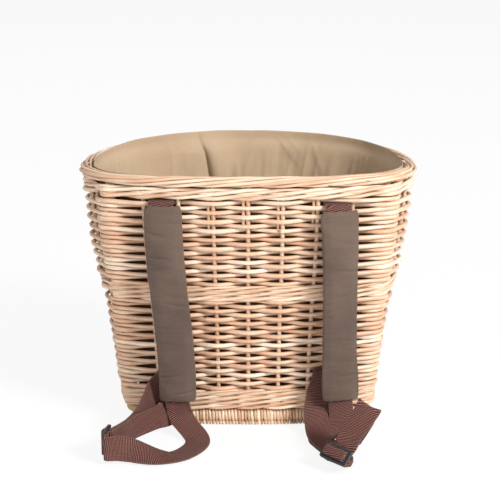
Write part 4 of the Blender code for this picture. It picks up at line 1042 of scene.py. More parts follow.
@dataclass(frozen=True)
class Uprights:
    """The stakes with their bent ends, the thin side stakes under the rim, and the corner posts."""

    border: Border = Border()
    heights: tuple[float, ...] = (0.0198, 0.0624, 0.1435, 0.1903, 0.2402)
    side_stakes: tuple[float, ...] = (2.86, 3.86, 4.86, 5.87)
    side_stake_foot: float = 0.258

    def stake(self, place: int, draw: random.Random) -> Rod:
        """One stake and its end in the border."""
        points = [WALL.spot(place, height) for height in self.heights]
        points += [WALL.spot(place, 0.285), WALL.spot(place, BORDER_START - 0.004)]
        radii = [STAKE_RADIUS * 1.02] * (len(points) - 1) + [self.border.thick]
        tail = [self.border.point(place + 0.16, 0.1)] + self.border.tail(place)
        wild = draw.random()
        for index, point in enumerate(tail):
            share = index / (len(tail) - 1)
            point.z += wander(place, index * 0.8, 0.0007)
            radii.append(self.border.thick + (self.border.thin - self.border.thick) * share)
        return points + tail, radii, wild

    def build(self) -> None:
        """Make every upright."""
        draw = random.Random(41)
        wood = WillowFinish(Finish.STAKES, pale=(0.88, 0.70, 0.52), streaks=0.38).material()
        for place in range(PLACES):
            if place in POST_PLACES:
                self.build_post("left" if place == 0 else "right", place, draw)
                continue
            back = place < BACK_PLACES
            node = f"back_stake_{place}" if back else f"front_stake_{place - BACK_PLACES}"
            rods = [self.stake(place, draw)]
            if back:
                rods += [self.side_stake(spot, draw) for spot in self.side_stakes if round(spot) == place]
            place_piece(swept_rods(f"{node}_rod", rods, wood, 12, 6), BASKET, Finish.STAKES, node)

    def side_stake(self, place: float, draw: random.Random) -> Rod:
        """A thin stake pushed in beside a main one, under the rim."""
        heights = np.linspace(self.side_stake_foot, BORDER_START + 0.004, 6)
        points = [WALL.spot(place, float(z), 0.0002) for z in heights]
        return points, [0.0016, 0.0019, 0.0019, 0.0018, 0.0018, 0.0017], draw.random()

    def build_post(self, side: str, place: int, draw: random.Random) -> None:
        """Make a corner post with a slightly rounded top."""
        wood = WillowFinish(Finish.POSTS, pale=(0.86, 0.68, 0.50), streaks=0.5).material()
        heights = (*self.heights, 0.285, BORDER_START - 0.001, BORDER_START)
        points = [WALL.spot(place, z, -POST_INSET) for z in heights]
        radii = [POST_RADIUS * (1 + wander(place, z * 20, 0.03)) for z in heights[:-1]] + [POST_RADIUS * 0.8]
        rods = [(points, radii, draw.random())]
        post = swept_rods(f"corner_post_{side}_rod", rods, wood, 16, 4)
        place_piece(post, BASKET, Finish.POSTS, f"corner_post_{side}")


@dataclass(frozen=True)
class Base:
    """The base: a hoop and cross sticks, with thin rods wound round them side by side."""

    overhang: float = 0.0075
    hoop_radius: float = 0.0055
    stick_radius: float = 0.0048
    rod_radius: float = 0.0021
    rod_pitch: float = 0.0040
    wound_share: float = 0.82
    cad_weaver: float = 0.0038

    def edge(self, x: float, front: bool) -> float:
        """Y of the hoop's middle at an X."""
        foot = WALL.table()[0]
        grown = self.overhang - self.cad_weaver - TOUCH_GAP - self.hoop_radius
        spots = foot[:, :2] + foot[:, 2:] * grown
        keep = (spots[:, 1] > -WALL.setback) == front
        chosen = spots[keep]
        order = np.argsort(chosen[:, 0])
        return float(np.interp(x, chosen[order, 0], chosen[order, 1]))

    def winding(self, x: float, draw: random.Random) -> Rod:
        """One turn of the wound rod: down the back edge, under, up the front edge and back over."""
        radius = self.rod_radius * draw.uniform(0.82, 1.12)
        middle = BASE_HEIGHT / 2
        high = middle - radius - 0.0002
        reach = self.hoop_radius + self.cad_weaver / 2 + 0.0005
        points = []
        for front, start, stop in ((False, 90, 270), (True, 270, 450)):
            y = self.edge(x, front)
            for angle in np.radians(np.linspace(start, stop, 7)):
                points.append(Vector((x, y + reach * math.cos(angle), middle + high * math.sin(angle))))
        drift = draw.uniform(-0.0004, 0.0004)
        for index, point in enumerate(points):
            point.x += drift * math.sin(index) + self.rod_pitch * index / len(points)
        points.append(points[0] + Vector((self.rod_pitch, 0.0, 0.0)))
        return points, [radius] * len(points), draw.random()

    def build(self) -> None:
        """Make the base."""
        draw = random.Random(12)
        tone = WillowFinish(Finish.BASE_WEAVER, pale=(0.90, 0.73, 0.55), deep=(0.52, 0.30, 0.17), coat=0.1)
        count = int(WALL.half_width[0] * self.wound_share / self.rod_pitch)
        rods = [self.winding(number * self.rod_pitch, draw) for number in range(-count, count + 1)]
        wound = swept_rods("base_wound_rods", rods, tone.material(), 10, 3)
        place_piece(wound, BASKET, Finish.BASE_WEAVER, "base_weave")
        self.build_sticks(draw)

    def build_sticks(self, draw: random.Random) -> None:
        """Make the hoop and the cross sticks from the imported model's own sizes."""
        tone = WillowFinish(Finish.STICKS, pale=(0.72, 0.50, 0.30), deep=(0.45, 0.26, 0.13), coat=0.05)
        wood = tone.material()
        foot = WALL.table()[0]
        grown = self.overhang - self.cad_weaver - TOUCH_GAP - self.hoop_radius
        ring = [Vector((*(row[:2] + row[2:] * grown), BASE_HEIGHT / 2)) for row in foot[::6]]
        ring.append((ring[0] + ring[1]) / 2)
        rods = [(ring, [self.hoop_radius] * len(ring), draw.random())]
        place_piece(swept_rods("base_hoop_stick", rods, wood, 14, 3), BASKET, Finish.STICKS, "base_hoop")
        for number in range(1, 5):
            low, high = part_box(f"base_stick_{number}")
            y = (low.y + high.y) / 2
            points = [Vector((x, y, BASE_HEIGHT / 2)) for x in np.linspace(low.x, high.x, 9)]
            radii = [self.stick_radius * (1 + wander(number, point.x * 30, 0.04)) for point in points]
            stick = swept_rods(f"base_stick_{number}_rod", [(points, radii, draw.random())], wood, 12, 3)
            place_piece(stick, BASKET, Finish.STICKS, f"base_stick_{number}")


@dataclass(frozen=True)
class Fold:
    """A fold in the liner: a step or a valley, wide at its foot."""

    place: float
    depth: float
    width: float
    lean: float = 0.0
    top: float = 1.0
    low: float = 0.0
    # Strength of the painted shade beside the fold.
    dark: float = 0.0

    def depth_at(self, place: float, share: float) -> float:
        """How far inward the cloth moves at a place, with the height as a share."""
        across = place - self.place - self.lean * (1 - share)
        fade = clamp((self.top - share) * 7) * clamp((share - self.low) * 9)
        return self.depth * fade * bell(across, self.width)

    def shadow_at(self, place: float, share: float) -> float:
        """How dark the painted shade on the fold's right side is."""
        across = place - self.place - self.lean * (1 - share) + self.width
        fade = clamp((self.top - share) * 9) * clamp((share - self.low) * 9)
        return self.dark * fade * bell(across, 0.8 * self.width)


@dataclass(frozen=True)
class Pleat:
    """A flap of the liner that laps over a narrow hollow, which opens downward."""

    place: float = 18.19
    lean: float = -0.85
    depth: float = 0.0088
    lap: float = 0.12

    def across(self, place: float, share: float) -> float:
        """Places to the flap's side of the pleat's edge."""
        return place - self.place - self.lean * (1 - share)

    def depth_at(self, place: float, share: float) -> float:
        """How far inward the cloth moves at a place, with the height as a share."""
        across = self.across(place, share)
        fade = clamp((1.03 - share) * 9)
        if across >= 0:
            return self.depth * fade * bell(across, 0.85)
        edge = bell(across, 0.03)
        width = 0.07 + 0.80 * (1 - share)
        hollow = bell(across, width)
        rest = 0.85 * self.depth * (1 - bell(across, width + 0.12)) * bell(across, 1.1)
        return fade * (self.depth * edge + (rest - 0.9 * self.depth * hollow) * (1 - edge))

    def shadow_at(self, place: float, share: float) -> float:
        """How dark the painted shade in the hollow is."""
        across = self.across(place, share)
        if across > 0.004:
            return 0.0
        fade = clamp((1.0 - share) * 12)
        width = 0.045 + 0.50 * max(0.0, 0.93 - share) ** 0.8
        return fade * (0.55 + 0.4 * min(1.0, (1 - share) * 6)) * bell(across, width)

    def overhang(self, place: float, share: float) -> float:
        """How far, in places, the flap laps over the hollow."""
        across = self.across(place, share)
        lap = self.lap * clamp((1.02 - share) * 9)
        return -lap * bell(across, 0.22) if across > -0.01 else 0.0


@dataclass(frozen=True)
class Liner:
    """The loose cotton liner: a wall with soft folds and a doubled hem, and a flat bottom."""

    near_top: float = 0.3200
    far_top: float = 0.3272
    hem: float = 0.0040
    columns: int = 900
    rows: int = 58
    # The first fold carries painted shade on its right side.
    folds: tuple[Fold, ...] = (
        Fold(16.98, 0.0075, 0.17, -0.7, 0.90, dark=0.55), Fold(16.2, 0.0030, 0.55, -0.6, 0.93),
        Fold(15.72, 0.0050, 0.10, -7.6, 1.0, 0.84, 0.35), Fold(15.36, 0.0024, 0.10, -7.6, 1.0, 0.86),
        Fold(14.5, 0.0030, 0.10, -4.0, 0.97, 0.83), Fold(13.6, 0.0050, 0.45, -0.6, 0.95),
        Fold(19.9, 0.0026, 0.16, 1.6, 0.96, 0.7), Fold(20.9, 0.0030, 0.20, 0.8, 0.95),
        Fold(12.4, 0.0022, 0.30, -0.5, 0.93), Fold(11.2, 0.0026, 0.25, -0.2, 0.94),
        Fold(22.6, 0.0050, 0.30, 0.3, 0.93), Fold(2.4, 0.0050, 0.30, 0.2, 0.93),
        Fold(5.6, 0.0050, 0.34, -0.3, 0.94),
    )
    pleat: Pleat = Pleat()
    reach: tuple[tuple[float, float], ...] = (
        (0.0, LINER_OFFSET), (0.3055, LINER_OFFSET), (0.3105, 0.0104), (0.3150, 0.0078), (0.3180, 0.0068),
        (0.35, 0.0066),
    )
    shadows: list[list[float]] = field(default_factory=list)

    def inward(self, place: float, share: float, height: float) -> float:
        """How far inside the wall's middle surface the cloth hangs."""
        loose = clamp((1.0 - share) * 5)
        depth = sum(fold.depth_at(place, share) for fold in self.folds) + self.pleat.depth_at(place, share)
        depth += 0.0034 * loose * (1 + noise.noise(Vector((place * 0.55, share * 1.3, 4.2))))
        crease = noise.noise(Vector((place * 1.7 + share * 2.5, share * 2.0, 11.0)))
        depth += 0.0016 * loose * max(0.0, 0.22 - abs(crease)) / 0.22
        depth += 0.0006 * loose * noise.noise(Vector((place * 5.0, share * 9.0, 2.0)))
        reach = float(np.interp(height, *zip(*self.reach)))
        fade = min(1.0, (0.3300 - height) * 40 if height > 0.305 else 1.0)
        return reach + max(0.0, depth) * fade

    def shadow(self, place: float, share: float) -> float:
        """How dark the painted shade is in the cloth's hollows."""
        return self.pleat.shadow_at(place, share) + sum(fold.shadow_at(place, share) for fold in self.folds)

    def surface(self) -> tuple[np.ndarray, np.ndarray]:
        """Points and cloth coordinates of the liner's wall, up to the fold of the hem and down its back."""
        places = np.arange(self.columns) * PLACES / self.columns
        rows, uv = [], []
        shares = np.concatenate([np.linspace(0.0, 0.93, self.rows), np.linspace(0.94, 1.0, 14)])
        rim = WALL.spots(places, np.full(self.columns, 0.312), 0.0)
        depth = WALL.depth[1]
        back_share = np.clip((rim[:, 1] + depth) / (2 * depth), 0, 1)
        tops = self.near_top + (self.far_top - self.near_top) * back_share
        tops += [wander(2.2, p * 0.8, 0.0006) for p in places]
        foot = BASE_HEIGHT + TOUCH_GAP + 0.0008
        around = np.concatenate([[0.0], np.cumsum(np.linalg.norm(np.diff(rim[:, :2], axis=0), axis=1))])
        around = np.append(around, around[-1] + 0.0016)
        for share in shares:
            heights = foot + (tops - foot) * share
            inward = [self.inward(p, float(share), float(h)) for p, h in zip(places, heights)]
            lapped = places + [self.pleat.overhang(p, float(share)) for p in places]
            rows.append(WALL.spots(lapped, heights, -np.array(inward)))
            uv.append(np.column_stack([around, np.full(self.columns + 1, share * 0.31)]))
        for fall, turned in ((0.0006, 0.0004), (0.0, 0.0008), (-0.0008, 0.0009), (-self.hem / 2, 0.0009),
                             (-self.hem, 0.0009), (-self.hem - 0.0006, 0.0009)):
            heights = tops + fall
            inward = [self.inward(p, 1.0, float(t)) - turned for p, t in zip(places, tops)]
            rows.append(WALL.spots(places, heights, -np.array(inward)))
            uv.append(np.column_stack([around, np.full(self.columns + 1, 0.312 - fall)]))
        # Painted shade at each point of the wall's rows, kept for the cloth shader.
        self.shadows.extend(
            [self.shadow(p, float(share)) for p in places[::-1]] for share in shares
        )
        return np.array(rows), np.array(uv)

    def build(self) -> None:
        """Make the liner's wall and bottom."""
        # The last colour is painted shade for the liner's back face where it shows through the weave.
        cloth = ClothFinish(
            Finish.LINER, (0.56, 0.415, 0.275), (0.36, 0.255, 0.16), 5200.0, 0.15, (0.09, 0.055, 0.033)
        ).material()
        rows, uv = self.surface()
        wall = grid_mesh("liner_wall_cloth", rows[:, ::-1], uv[:, ::-1], cloth)
        # Painted shade in the pleat and folds, stored on the wall's points for the cloth shader.
        dark = np.zeros(len(wall.data.vertices), np.float32)
        values = np.minimum(np.ravel(self.shadows), 1.0)
        dark[:len(values)] = values
        wall.data.attributes.new(PAINTED_SHADE_ATTRIBUTE, "FLOAT", "POINT").data.foreach_set("value", dark)
        place_piece(wall, BASKET, Finish.LINER, "liner_wall")
        self.build_bottom(rows[0], cloth)

    def build_bottom(self, foot: np.ndarray, cloth: bpy.types.Material) -> None:
        """Make the bottom, which meets the wall's lower edge in a seam."""
        centre = foot.mean(axis=0)
        rings, uv = [], []
        for share in np.linspace(1.0, 0.02, 24):
            ring = centre + (foot - centre) * share
            bumps = [max(0.0, noise.noise(Vector((x * 22, y * 22, 7.0)))) for x, y in ring[:, :2]]
            ring[:, 2] = [foot[0, 2] + 0.0005 + 0.0009 * bump * (1 - share**8) for bump in bumps]
            rings.append(ring)
            closed = np.vstack([ring, ring[:1]])
            uv.append(closed[:, :2])
        bottom = grid_mesh("liner_bottom_cloth", np.array(rings), np.array(uv), cloth)
        close_end(bottom, np.array(rings).shape[0] - 1, self.columns)
        place_piece(bottom, BASKET, Finish.LINER, "liner_bottom")


def close_end(piece: bpy.types.Object, row: int, columns: int) -> None:
    """Fill the ring of points at one row of a closed skin."""
    shape = bmesh.new()
    shape.from_mesh(piece.data)
    shape.verts.ensure_lookup_table()
    shape.faces.new([shape.verts[row * columns + column] for column in range(columns)][::-1])
    bmesh.ops.recalc_face_normals(shape, faces=shape.faces)
    shape.to_mesh(piece.data)
    shape.free()
    piece.data.shade_smooth()


@dataclass(frozen=True)
class Strap:
    """One shoulder strap: its webbing's route, its pad, and its slider."""

    side: str
    route: tuple[tuple[float, ...], ...]
    pad_head: Vector
    pad_foot: Vector
    pad_across: Vector
    slider_middle: Vector
    slider_along: Vector
    slider_across: Vector
    blend_from: Vector
    blend_to: Vector
    seed: int
    stitched: tuple[float, float]
    head_cuts: tuple[float, float]
    sway: float
    waist: float


STRAPS = (
    Strap(
        "left", LEFT_ROUTE, Vector((-0.1003, -0.1359, 0.2898)), Vector((-0.0853, -0.1212, 0.0420)),
        Vector((0.98, -0.16, 0.07)), Vector((-0.1650, -0.2040, 0.0215)), Vector((0.2496, 0.9684, 0.0)),
        Vector((0.0, 0.0, -1.0)), Vector((-0.110, -0.130, 0.030)), Vector((-0.155, -0.190, 0.022)),
        seed=5, stitched=(0.02, 0.42), head_cuts=(0.0040, 0.0015), sway=-0.0018, waist=0.0,
    ),
    Strap(
        "right", RIGHT_ROUTE, Vector((0.1070, -0.1354, 0.2835)), Vector((0.1126, -0.1176, 0.0420)),
        Vector((0.98, 0.16, -0.02)), Vector((0.1013, -0.2415, 0.0220)), Vector((-0.5351, -0.4901, -0.6881)),
        Vector((0.7355, -0.6710, -0.0940)), Vector((0.087, -0.150, 0.006)), Vector((0.100, -0.235, 0.010)),
        seed=9, stitched=(0.03, 0.22), head_cuts=(0.0030, 0.0010), sway=0.0008, waist=0.10,
    ),
)


@dataclass(frozen=True)
class Webbing:
    """A strap's webbing: a flat ribbed band with soft edges."""

    width: float = WEBBING_WIDTH
    thickness: float = WEBBING_THICKNESS
    subdivisions: int = 4
    lanes: int = 12

    def section(self) -> tuple[np.ndarray, np.ndarray]:
        """Points across the band's two faces, and the share of the width that each lies at."""
        edge, low_rise = np.array([0.5, 0.492, 0.47]), np.array([0.0, 0.32, 0.46])
        across = np.concatenate([-edge, np.linspace(-0.42, 0.42, self.lanes), edge[::-1]])
        rise = np.concatenate([low_rise, np.full(self.lanes, 0.5), low_rise[::-1]])
        top = np.column_stack([across * self.width, rise * self.thickness])
        low = top[-2:0:-1] * (1, -1)
        return np.vstack([top, low]), np.concatenate([across, across[-2:0:-1], across[:1]]) + 0.5

    def stations(self, strap: Strap) -> tuple[list[Vector], list[Vector]]:
        """Points along the band and its sideways direction at each, on one smooth curve."""
        spots = [Vector(row[:3]) * MM for row in strap.route]
        sides = [Vector(row[3:]) for row in strap.route]
        for index in range(1, len(sides)):
            if sides[index].dot(sides[index - 1]) < 0:
                sides[index] = -sides[index]
        points, across = [], []
        last = len(spots) - 1
        for index in range(last):
            around = [spots[max(0, min(last, index + step))] for step in (-1, 0, 1, 2)]
            for number in range(self.subdivisions):
                share = number / self.subdivisions
                points.append(smooth_between(around, share))
                across.append(sides[index].lerp(sides[index + 1], share).normalized())
        return points + [spots[-1]], across + [sides[-1].normalized()]

    def build(self, strap: Strap, cloth: bpy.types.Material) -> None:
        """Make one strap's webbing."""
        points, across = self.stations(strap)
        section, shares = self.section()
        rows, uv = [], []
        travelled = 0.0
        for index, point in enumerate(points):
            ahead = points[min(index + 1, len(points) - 1)] - points[max(index - 1, 0)]
            side = (across[index] - ahead * (across[index].dot(ahead) / ahead.length_squared)).normalized()
            face = ahead.normalized().cross(side).normalized()
            if index:
                travelled += (point - points[index - 1]).length
            basis = np.array([side, face])
            rows.append(np.array(point) + section @ basis)
            uv.append(np.column_stack([shares, np.full(len(shares), travelled)]))
        band = grid_mesh(f"webbing_{strap.side}_band", np.array(rows), np.array(uv), cloth, caps=True)
        turn_outward(band)
        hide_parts(f"webbing_{strap.side}")
        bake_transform(band)


def smooth_between(around: Sequence[Vector], share: float) -> Vector:
    """A point on the smooth curve through the middle two of four points."""
    before, here, after, later = around
    square, cube = share * share, share**3
    reach = (after - here).length
    leave = (after - before) * (reach / ((here - before).length + reach))
    arrive = (later - here) * (reach / ((later - after).length + reach))
    return (
        here * (2 * cube - 3 * square + 1) + leave * (cube - 2 * square + share)
        + after * (3 * square - 2 * cube) + arrive * (cube - square)
    )


def turn_outward(piece: bpy.types.Object, weld: float = 0.0) -> None:
    """Merge a piece's doubled points if asked, and point its faces outward."""
    shape = bmesh.new()
    shape.from_mesh(piece.data)
    if weld:
        bmesh.ops.remove_doubles(shape, verts=shape.verts, dist=weld)
    bmesh.ops.recalc_face_normals(shape, faces=shape.faces)
    shape.to_mesh(piece.data)
    shape.free()


@dataclass(frozen=True)
class Pad:
    """A shoulder pad: a flat cloth sleeve over foam, creased across, with a sewn seam down each edge."""

    width: float = PAD_WIDTH
    thickness: float = PAD_THICKNESS
    squareness: float = 2.08
    rows: int = 260
    columns: int = 96
    tunnel: tuple[float, float] = (0.0370, 0.0042)
    mouth: float = 0.0062
    mouth_shift: float = 0.0010
    lip: float = 0.0110
    seam_inset: float = 0.0048
    crease: float = 0.0028

    def frame(self, strap: Strap) -> tuple[Matrix, float]:
        """The pad's own frame at its middle, and its length."""
        up = (strap.pad_head - strap.pad_foot).normalized()
        across = (strap.pad_across - up * strap.pad_across.dot(up)).normalized()
        out = up.cross(across).normalized()
        middle = (strap.pad_head + strap.pad_foot) / 2
        matrix = Matrix.Translation(middle) @ Matrix((across, out, up)).transposed().to_4x4()
        return matrix, (strap.pad_head - strap.pad_foot).length

    def ring(self, half_width: float, half_depth: float, power: float) -> np.ndarray:
        """Points round a section."""
        angles = np.linspace(0, 2 * math.pi, self.columns, endpoint=False)
        cos, sin = np.cos(angles), np.sin(angles)
        x = half_width * np.sign(cos) * np.abs(cos) ** (2 / power)
        y = half_depth * np.sign(sin) * np.abs(sin) ** (2 / power)
        return np.column_stack([x, y])

    @lru_cache(maxsize=None)
    def pinches(self, seed: int) -> tuple[tuple[float, float, float, float], ...]:
        """Height, side, slope and depth of the short creases that run in from the seams."""
        draw = random.Random(seed)
        return tuple(
            ((number + draw.random() * 0.7) / 11 * PAD_SPAN - PAD_SPAN / 2, draw.choice((-1.0, 1.0)),
             draw.uniform(-0.3, 0.3), draw.uniform(0.0006, 0.0020))
            for number in range(11)
        )

    def outer(self, share: float, strap: Strap) -> np.ndarray:
        """The sleeve's section at a share of its length.

        Args:
            share: Share of the pad's length, from its foot.
            strap: The strap that the pad belongs to.

        Returns:
            Points round the section, across and outward.
        """
        seed = strap.seed
        near_end = min(share, 1 - share) * PAD_SPAN
        squeeze = 1 - 0.34 * math.exp(-near_end / 0.006)
        waist = 1 - 0.07 * math.exp(-near_end / 0.005) + wander(seed, share * 9, 0.02)
        ring = self.ring(self.width / 2 * waist, self.thickness / 2 * squeeze, self.squareness)
        foot = bell(share * PAD_SPAN, 0.014)
        ring[:, 1] *= np.where(ring[:, 1] > 0, 1 - 0.30 * foot, 1 + 0.14 * foot)
        away = np.abs(ring[:, 0]) - (self.width / 2 - self.seam_inset)
        ring[:, 1] *= 1 - 0.07 * np.exp(-((away / 0.0030) ** 2))
        for index, (x, y) in enumerate(ring):
            fine = noise.noise(Vector((x * 22, share * 21 + x * 14, seed + math.copysign(4.0, y))))
            broad = noise.noise(Vector((x * 16, share * 8, seed * 2.0 + math.copysign(7.0, y))))
            ridge = Vector((x * 12 + 5, share * 24 - x * 12, seed + math.copysign(2.0, y)))
            sharp = 1 - abs(noise.noise(ridge)) * 6.0
            edge = (abs(x) / (self.width / 2)) ** 2
            hollow = fine * 0.45 + broad - max(0.0, sharp) ** 2 * 0.6 * edge
            for height, side, slope, depth in self.pinches(seed):
                off = ((share - 0.5) * PAD_SPAN - height - slope * x) / 0.0019
                if abs(off) < 3:
                    near = clamp(0.45 + side * x / 0.023)
                    hollow -= depth / self.crease * math.exp(-off * off) * near
            ring[index, 1] += math.copysign(self.crease, y) * hollow * (abs(y) / (self.thickness / 2))
            ring[index, 0] += 0.0005 * fine * math.copysign(1.0, x)
        from_head = (1 - share) * PAD_SPAN
        for side, cut in zip((-1, 1), strap.head_cuts):
            drawn = cut * max(0.0, 1 - from_head / 0.0065)
            edge = np.clip(ring[:, 0] * side / (self.width / 2), 0, 1) ** 2
            ring[:, 0] -= side * drawn * edge
        ring[:, 0] *= 1 - strap.waist * math.sin(math.pi * share)
        ring[:, 0] += strap.sway * math.sin(2 * math.pi * (1 - share))
        return ring

    def tunnel_ring(self, share: float) -> np.ndarray:
        """The tunnel's section, which widens at both mouths towards the side that the webbing leaves to."""
        flare = max(0.0, 1 - min(share, 1 - share) / 0.08) ** 0.7
        width, depth = self.tunnel
        ring = self.ring(width / 2, (depth + (self.mouth - depth) * flare) / 2, 4.0)
        ring[:, 1] += math.copysign(self.mouth_shift * flare, share - 0.5)
        return ring

    def build(self, strap: Strap, cloth: bpy.types.Material) -> None:
        """Make one pad and its stitches."""
        matrix, length = self.frame(strap)
        rows, uv = [], []
        for share in np.linspace(0.0, 1.0, self.rows):
            rows.append((self.outer(float(share), strap), (share - 0.5) * length))
        first, last = rows[0][0], rows[-1][0]
        mouth = self.tunnel_ring(1.0)
        for part in (0.3, 0.65, 1.0):
            rows.append((last + (mouth - last) * part, (0.5 - 0.006 * (part - 0.35)) * length))
        spans = ((0.975, 0.91, 6), (0.85, 0.15, 9), (0.09, 0.025, 6))
        for share in np.concatenate([np.linspace(*span) for span in spans]):
            rows.append((self.tunnel_ring(float(share)), (share - 0.5) * length))
        mouth = self.tunnel_ring(0.0)
        for part in (1.0, 0.65, 0.3, 0.0):
            height = 0.0 if part == 0 else part - 0.35
            rows.append((first + (mouth - first) * part, (-0.5 + 0.006 * height) * length))
        girth = np.linspace(0, 2 * (self.width + self.thickness), self.columns + 1)
        spots = []
        for ring, height in rows:
            drop = self.lip * max(0.0, height / length - 0.40) / 0.10
            lows = height - drop * np.clip(ring[:, 1] / 0.004, 0, 1)
            spots.append([tuple(matrix @ Vector((x, y, z))) for (x, y), z in zip(ring, lows)])
            uv.append(np.column_stack([girth, np.full(self.columns + 1, height)]))
        pad = grid_mesh(f"pad_{strap.side}_sleeve", np.array(spots), np.array(uv), cloth)
        turn_outward(pad, 1e-7)
        place_piece(pad, f"pad_{strap.side}", Finish.PAD, f"pad_{strap.side}")
        self.build_stitches(strap, matrix, length)

    def build_stitches(self, strap: Strap, matrix: Matrix, length: float) -> None:
        """Make the seam stitches that show low on one edge, and the fine ones across both hems."""
        thread = ClothFinish(Finish.PAD, (0.10, 0.075, 0.06), (0.05, 0.035, 0.03), 9000.0, 0.05).material()
        rods: list[Rod] = []
        stitch, gap, radius = 0.0028, 0.0018, 0.00034
        low, high = ((share - 0.5) * length for share in strap.stitched)
        while low < high:
            x = float(self.outer(low / length + 0.5, strap)[:, 0].max()) - 0.0019
            rods.append(self.stitch(strap, matrix, length, (x, low), (x, low + stitch), radius))
            low += stitch + gap
        radius *= 0.6
        for end in (-1, 1):
            height = end * (length / 2 - 0.0065)
            x = -self.width / 2 + 0.007
            while x < self.width / 2 - 0.009:
                rods.append(self.stitch(strap, matrix, length, (x, height), (x + stitch, height), radius))
                x += stitch + gap
        piece = swept_rods(f"pad_{strap.side}_stitches", rods, thread, 6, 2)
        place_piece(piece, f"pad_{strap.side}", Finish.PAD)

    def stitch(self, strap: Strap, matrix: Matrix, length: float, begin: tuple[float, float],
               finish: tuple[float, float], radius: float) -> Rod:
        """One stitch on the sleeve's outer face, sunk at both ends."""
        points = []
        for share, sink in ((0.0, -0.0004), (0.5, 0.00025), (1.0, -0.0004)):
            x = begin[0] + (finish[0] - begin[0]) * share
            z = begin[1] + (finish[1] - begin[1]) * share
            ring = self.outer(z / length + 0.5, strap)
            face = ring[ring[:, 1] < 0]
            order = np.argsort(face[:, 0])
            y = float(np.interp(x, face[order, 0], face[order, 1]))
            points.append(matrix @ Vector((x, y - sink, z)))
        return points, [radius] * len(points), 0.5


@dataclass(frozen=True)
class Slider:
    """A slider: a moulded frame of three bars with two slots, ribbed on its outer bars."""

    bar: float = 0.0040
    slot: float = 0.0044
    slot_length: float = 0.0314
    side_bar: float = 0.0032
    thickness: float = 0.0034
    edge: float = 0.0007
    rib: float = 0.00045

    def matrix(self, strap: Strap) -> Matrix:
        """The slider's own frame."""
        normal = strap.slider_along.cross(strap.slider_across).normalized()
        axes = Matrix((strap.slider_along, strap.slider_across, normal)).transposed()
        return Matrix.Translation(strap.slider_middle) @ axes.to_4x4()

    def outline(self, curve: bpy.types.Curve, middle: float, half: tuple[float, float],
                corner: float) -> None:
        """Add a rounded rectangle to a flat curve."""
        points = []
        for x_sign, y_sign, start in ((1, 1, 0), (-1, 1, 90), (-1, -1, 180), (1, -1, 270)):
            for angle in np.radians(np.linspace(start, start + 90, 7)):
                points.append((
                    middle + x_sign * (half[0] - corner) + corner * math.cos(angle),
                    y_sign * (half[1] - corner) + corner * math.sin(angle), 0.0, 1.0,
                ))
        spline = curve.splines.new("POLY")
        spline.points.add(len(points) - 1)
        spline.points.foreach_set("co", [value for point in points for value in point])
        spline.use_cyclic_u = True

    def build(self, strap: Strap, plastic: bpy.types.Material) -> None:
        """Make one slider and its ribs.

        Args:
            strap: The strap that the slider belongs to.
            plastic: The slider's material.
        """
        curve = bpy.data.curves.new(f"slider_{strap.side}_outline", "CURVE")
        curve.dimensions = "2D"
        curve.fill_mode = "BOTH"
        curve.extrude = self.thickness / 2 - self.edge
        curve.bevel_depth = self.edge
        curve.bevel_resolution = 3
        half = (1.5 * self.bar + self.slot, self.slot_length / 2 + self.side_bar)
        self.outline(curve, 0.0, (half[0] - self.edge, half[1] - self.edge), 0.0022)
        for side in (-1, 1):
            middle = side * (self.bar + self.slot) / 2
            self.outline(curve, middle, (self.slot / 2 + self.edge, self.slot_length / 2 + self.edge), 0.0016)
        drawn = bpy.data.objects.new(curve.name, curve)
        bpy.context.scene.collection.objects.link(drawn)
        frame = applied(drawn, f"slider_{strap.side}_frame")
        matrix = self.matrix(strap)
        frame.data.transform(matrix)
        frame.data.materials.clear()
        frame.data.materials.append(plastic)
        frame.data.set_sharp_from_angle(angle=math.radians(50))
        turn_outward(frame, 1e-6)
        place_piece(frame, f"slider_{strap.side}", Finish.PLASTIC, f"slider_{strap.side}")
        ribs: list[Rod] = []
        for side in (-1, 1):
            x = side * (self.bar + self.slot)
            for face in (-1, 1):
                for y in np.linspace(-0.0125, 0.0125, 11):
                    spots = [(x - self.bar * 0.36, y), (x, y), (x + self.bar * 0.36, y)]
                    points = [matrix @ Vector((a, b, face * self.thickness / 2)) for a, b in spots]
                    ribs.append((points, [self.rib] * 3, 0.5))
        piece = swept_rods(f"slider_{strap.side}_ribs", ribs, plastic, 8, 2)
        place_piece(piece, f"slider_{strap.side}", Finish.PLASTIC)


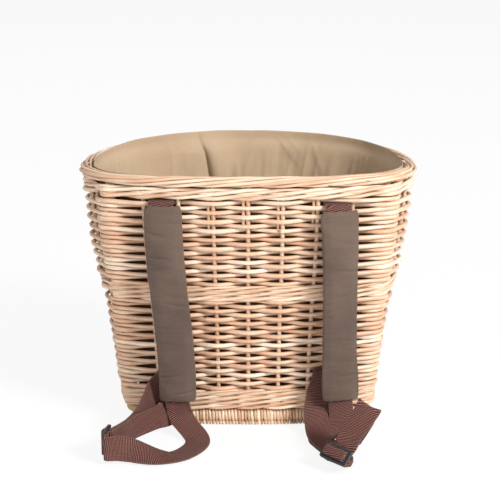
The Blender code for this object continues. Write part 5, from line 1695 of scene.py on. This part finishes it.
@dataclass(frozen=True)
class Studio:
    """The pale floor, the soft lamps and the camera."""

    focal: float = 118.44
    place: tuple[float, float, float] = (0.0022, -2.0, 0.760)
    tilt: float = 15.70
    world: float = 0.42
    floor_glow: float = 0.88
    lamps: tuple[tuple[str, tuple[float, float, float], float, float], ...] = (
        ("key_lamp", (2.0, -1.9, 1.9), 0.8, 112.0),
        ("fill_lamp", (-1.8, -2.4, 1.0), 1.6, 20.0),
        ("back_lamp", (-0.6, 2.4, 2.4), 1.6, 14.0),
    )

    def build(self) -> None:
        """Make the studio."""
        scene = bpy.context.scene
        scene.view_settings.view_transform = "Standard"
        self.build_camera(scene)
        self.build_world(scene)
        self.build_floor()
        for name, place, size, power in self.lamps:
            lamp = bpy.data.lights.new(name, "AREA")
            lamp.size, lamp.energy = size, power
            holder = bpy.data.objects.new(name, lamp)
            holder.location = place
            holder.rotation_euler = (Vector(place) - Vector((0, 0, 0.15))).to_track_quat("Z", "Y").to_euler()
            scene.collection.objects.link(holder)

    def build_camera(self, scene: bpy.types.Scene) -> None:
        """Make the camera at the photograph's angle."""
        camera = bpy.data.cameras.new("photo_camera")
        camera.lens, camera.sensor_width = self.focal, 36.0
        holder = bpy.data.objects.new("photo_camera", camera)
        holder.location = self.place
        holder.rotation_euler = (math.radians(90 - self.tilt), 0.0, 0.0)
        scene.collection.objects.link(holder)
        scene.camera = holder

    def build_world(self, scene: bpy.types.Scene) -> None:
        """Make an even white world, brighter where the camera sees it, straight or through something clear.
        """
        world = bpy.data.worlds.new("studio_world")
        world.use_nodes = True
        scene.world = world
        graph = Graph(world.node_tree)
        strength = graph.scaled(graph.seen(), 1.0 - self.world, self.world)
        graph.connect(world.node_tree.nodes["Background"], {"Color": WHITE, "Strength": strength})

    def build_floor(self) -> None:
        """Make the floor, white to the camera but still dimmed by the object's shadow."""
        mesh = bpy.data.meshes.new("studio_floor")
        mesh.from_pydata([(-10, -10, 0), (10, -10, 0), (10, 10, 0), (-10, 10, 0)], [], [(0, 1, 2, 3)])
        material, graph, shader = new_material("studio_floor")
        graph.connect(shader, {"Base Color": (0.98, 0.98, 0.98, 1.0), "Roughness": 0.9})
        glow = graph.add("ShaderNodeEmission", {"Color": WHITE, "Strength": 1.0})
        share = graph.math("MULTIPLY", graph.seen(), self.floor_glow)
        mixed = graph.add("ShaderNodeMixShader", {0: share, 1: shader.outputs[0], 2: glow.outputs[0]})
        graph.connect(material.node_tree.nodes["Material Output"], {"Surface": mixed.outputs[0]})
        mesh.materials.append(material)
        link_object("studio_floor", mesh)


def main() -> None:
    """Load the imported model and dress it."""
    logging.basicConfig(level=logging.INFO, format="%(message)s")
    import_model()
    Studio().build()
    for number, band in enumerate(WEAVINGS):
        deep = WALE_DEEP if band.slot is Finish.WALES else WillowFinish.deep
        wood = WillowFinish(band.slot, deep=deep).material()
        rods = swept_rods(f"{band.node}_rods", band.rods(FIRST_SEED + number), wood, 10, 5)
        place_piece(rods, BASKET, band.slot, band.node)
    Uprights().build()
    Base().build()
    Liner().build()
    # The webbing's red-brown is its own colour; its light colour is a painted highlight on the rib tops, its
    # shade colour painted shade between them.
    webbing = WebbingFinish(Finish.WEBBING, (0.36, 0.150, 0.118), (0.034, 0.0105, 0.008)).material()
    sleeve = ClothFinish(Finish.PAD, (0.168, 0.115, 0.089), (0.052, 0.034, 0.026), 5200.0, 0.10).material()
    plastic = PlasticFinish(Finish.PLASTIC).material()
    for strap in STRAPS:
        Webbing().build(strap, webbing)
        Pad().build(strap, sleeve)
        Slider().build(strap, plastic)


if __name__ == "__main__":
    main()
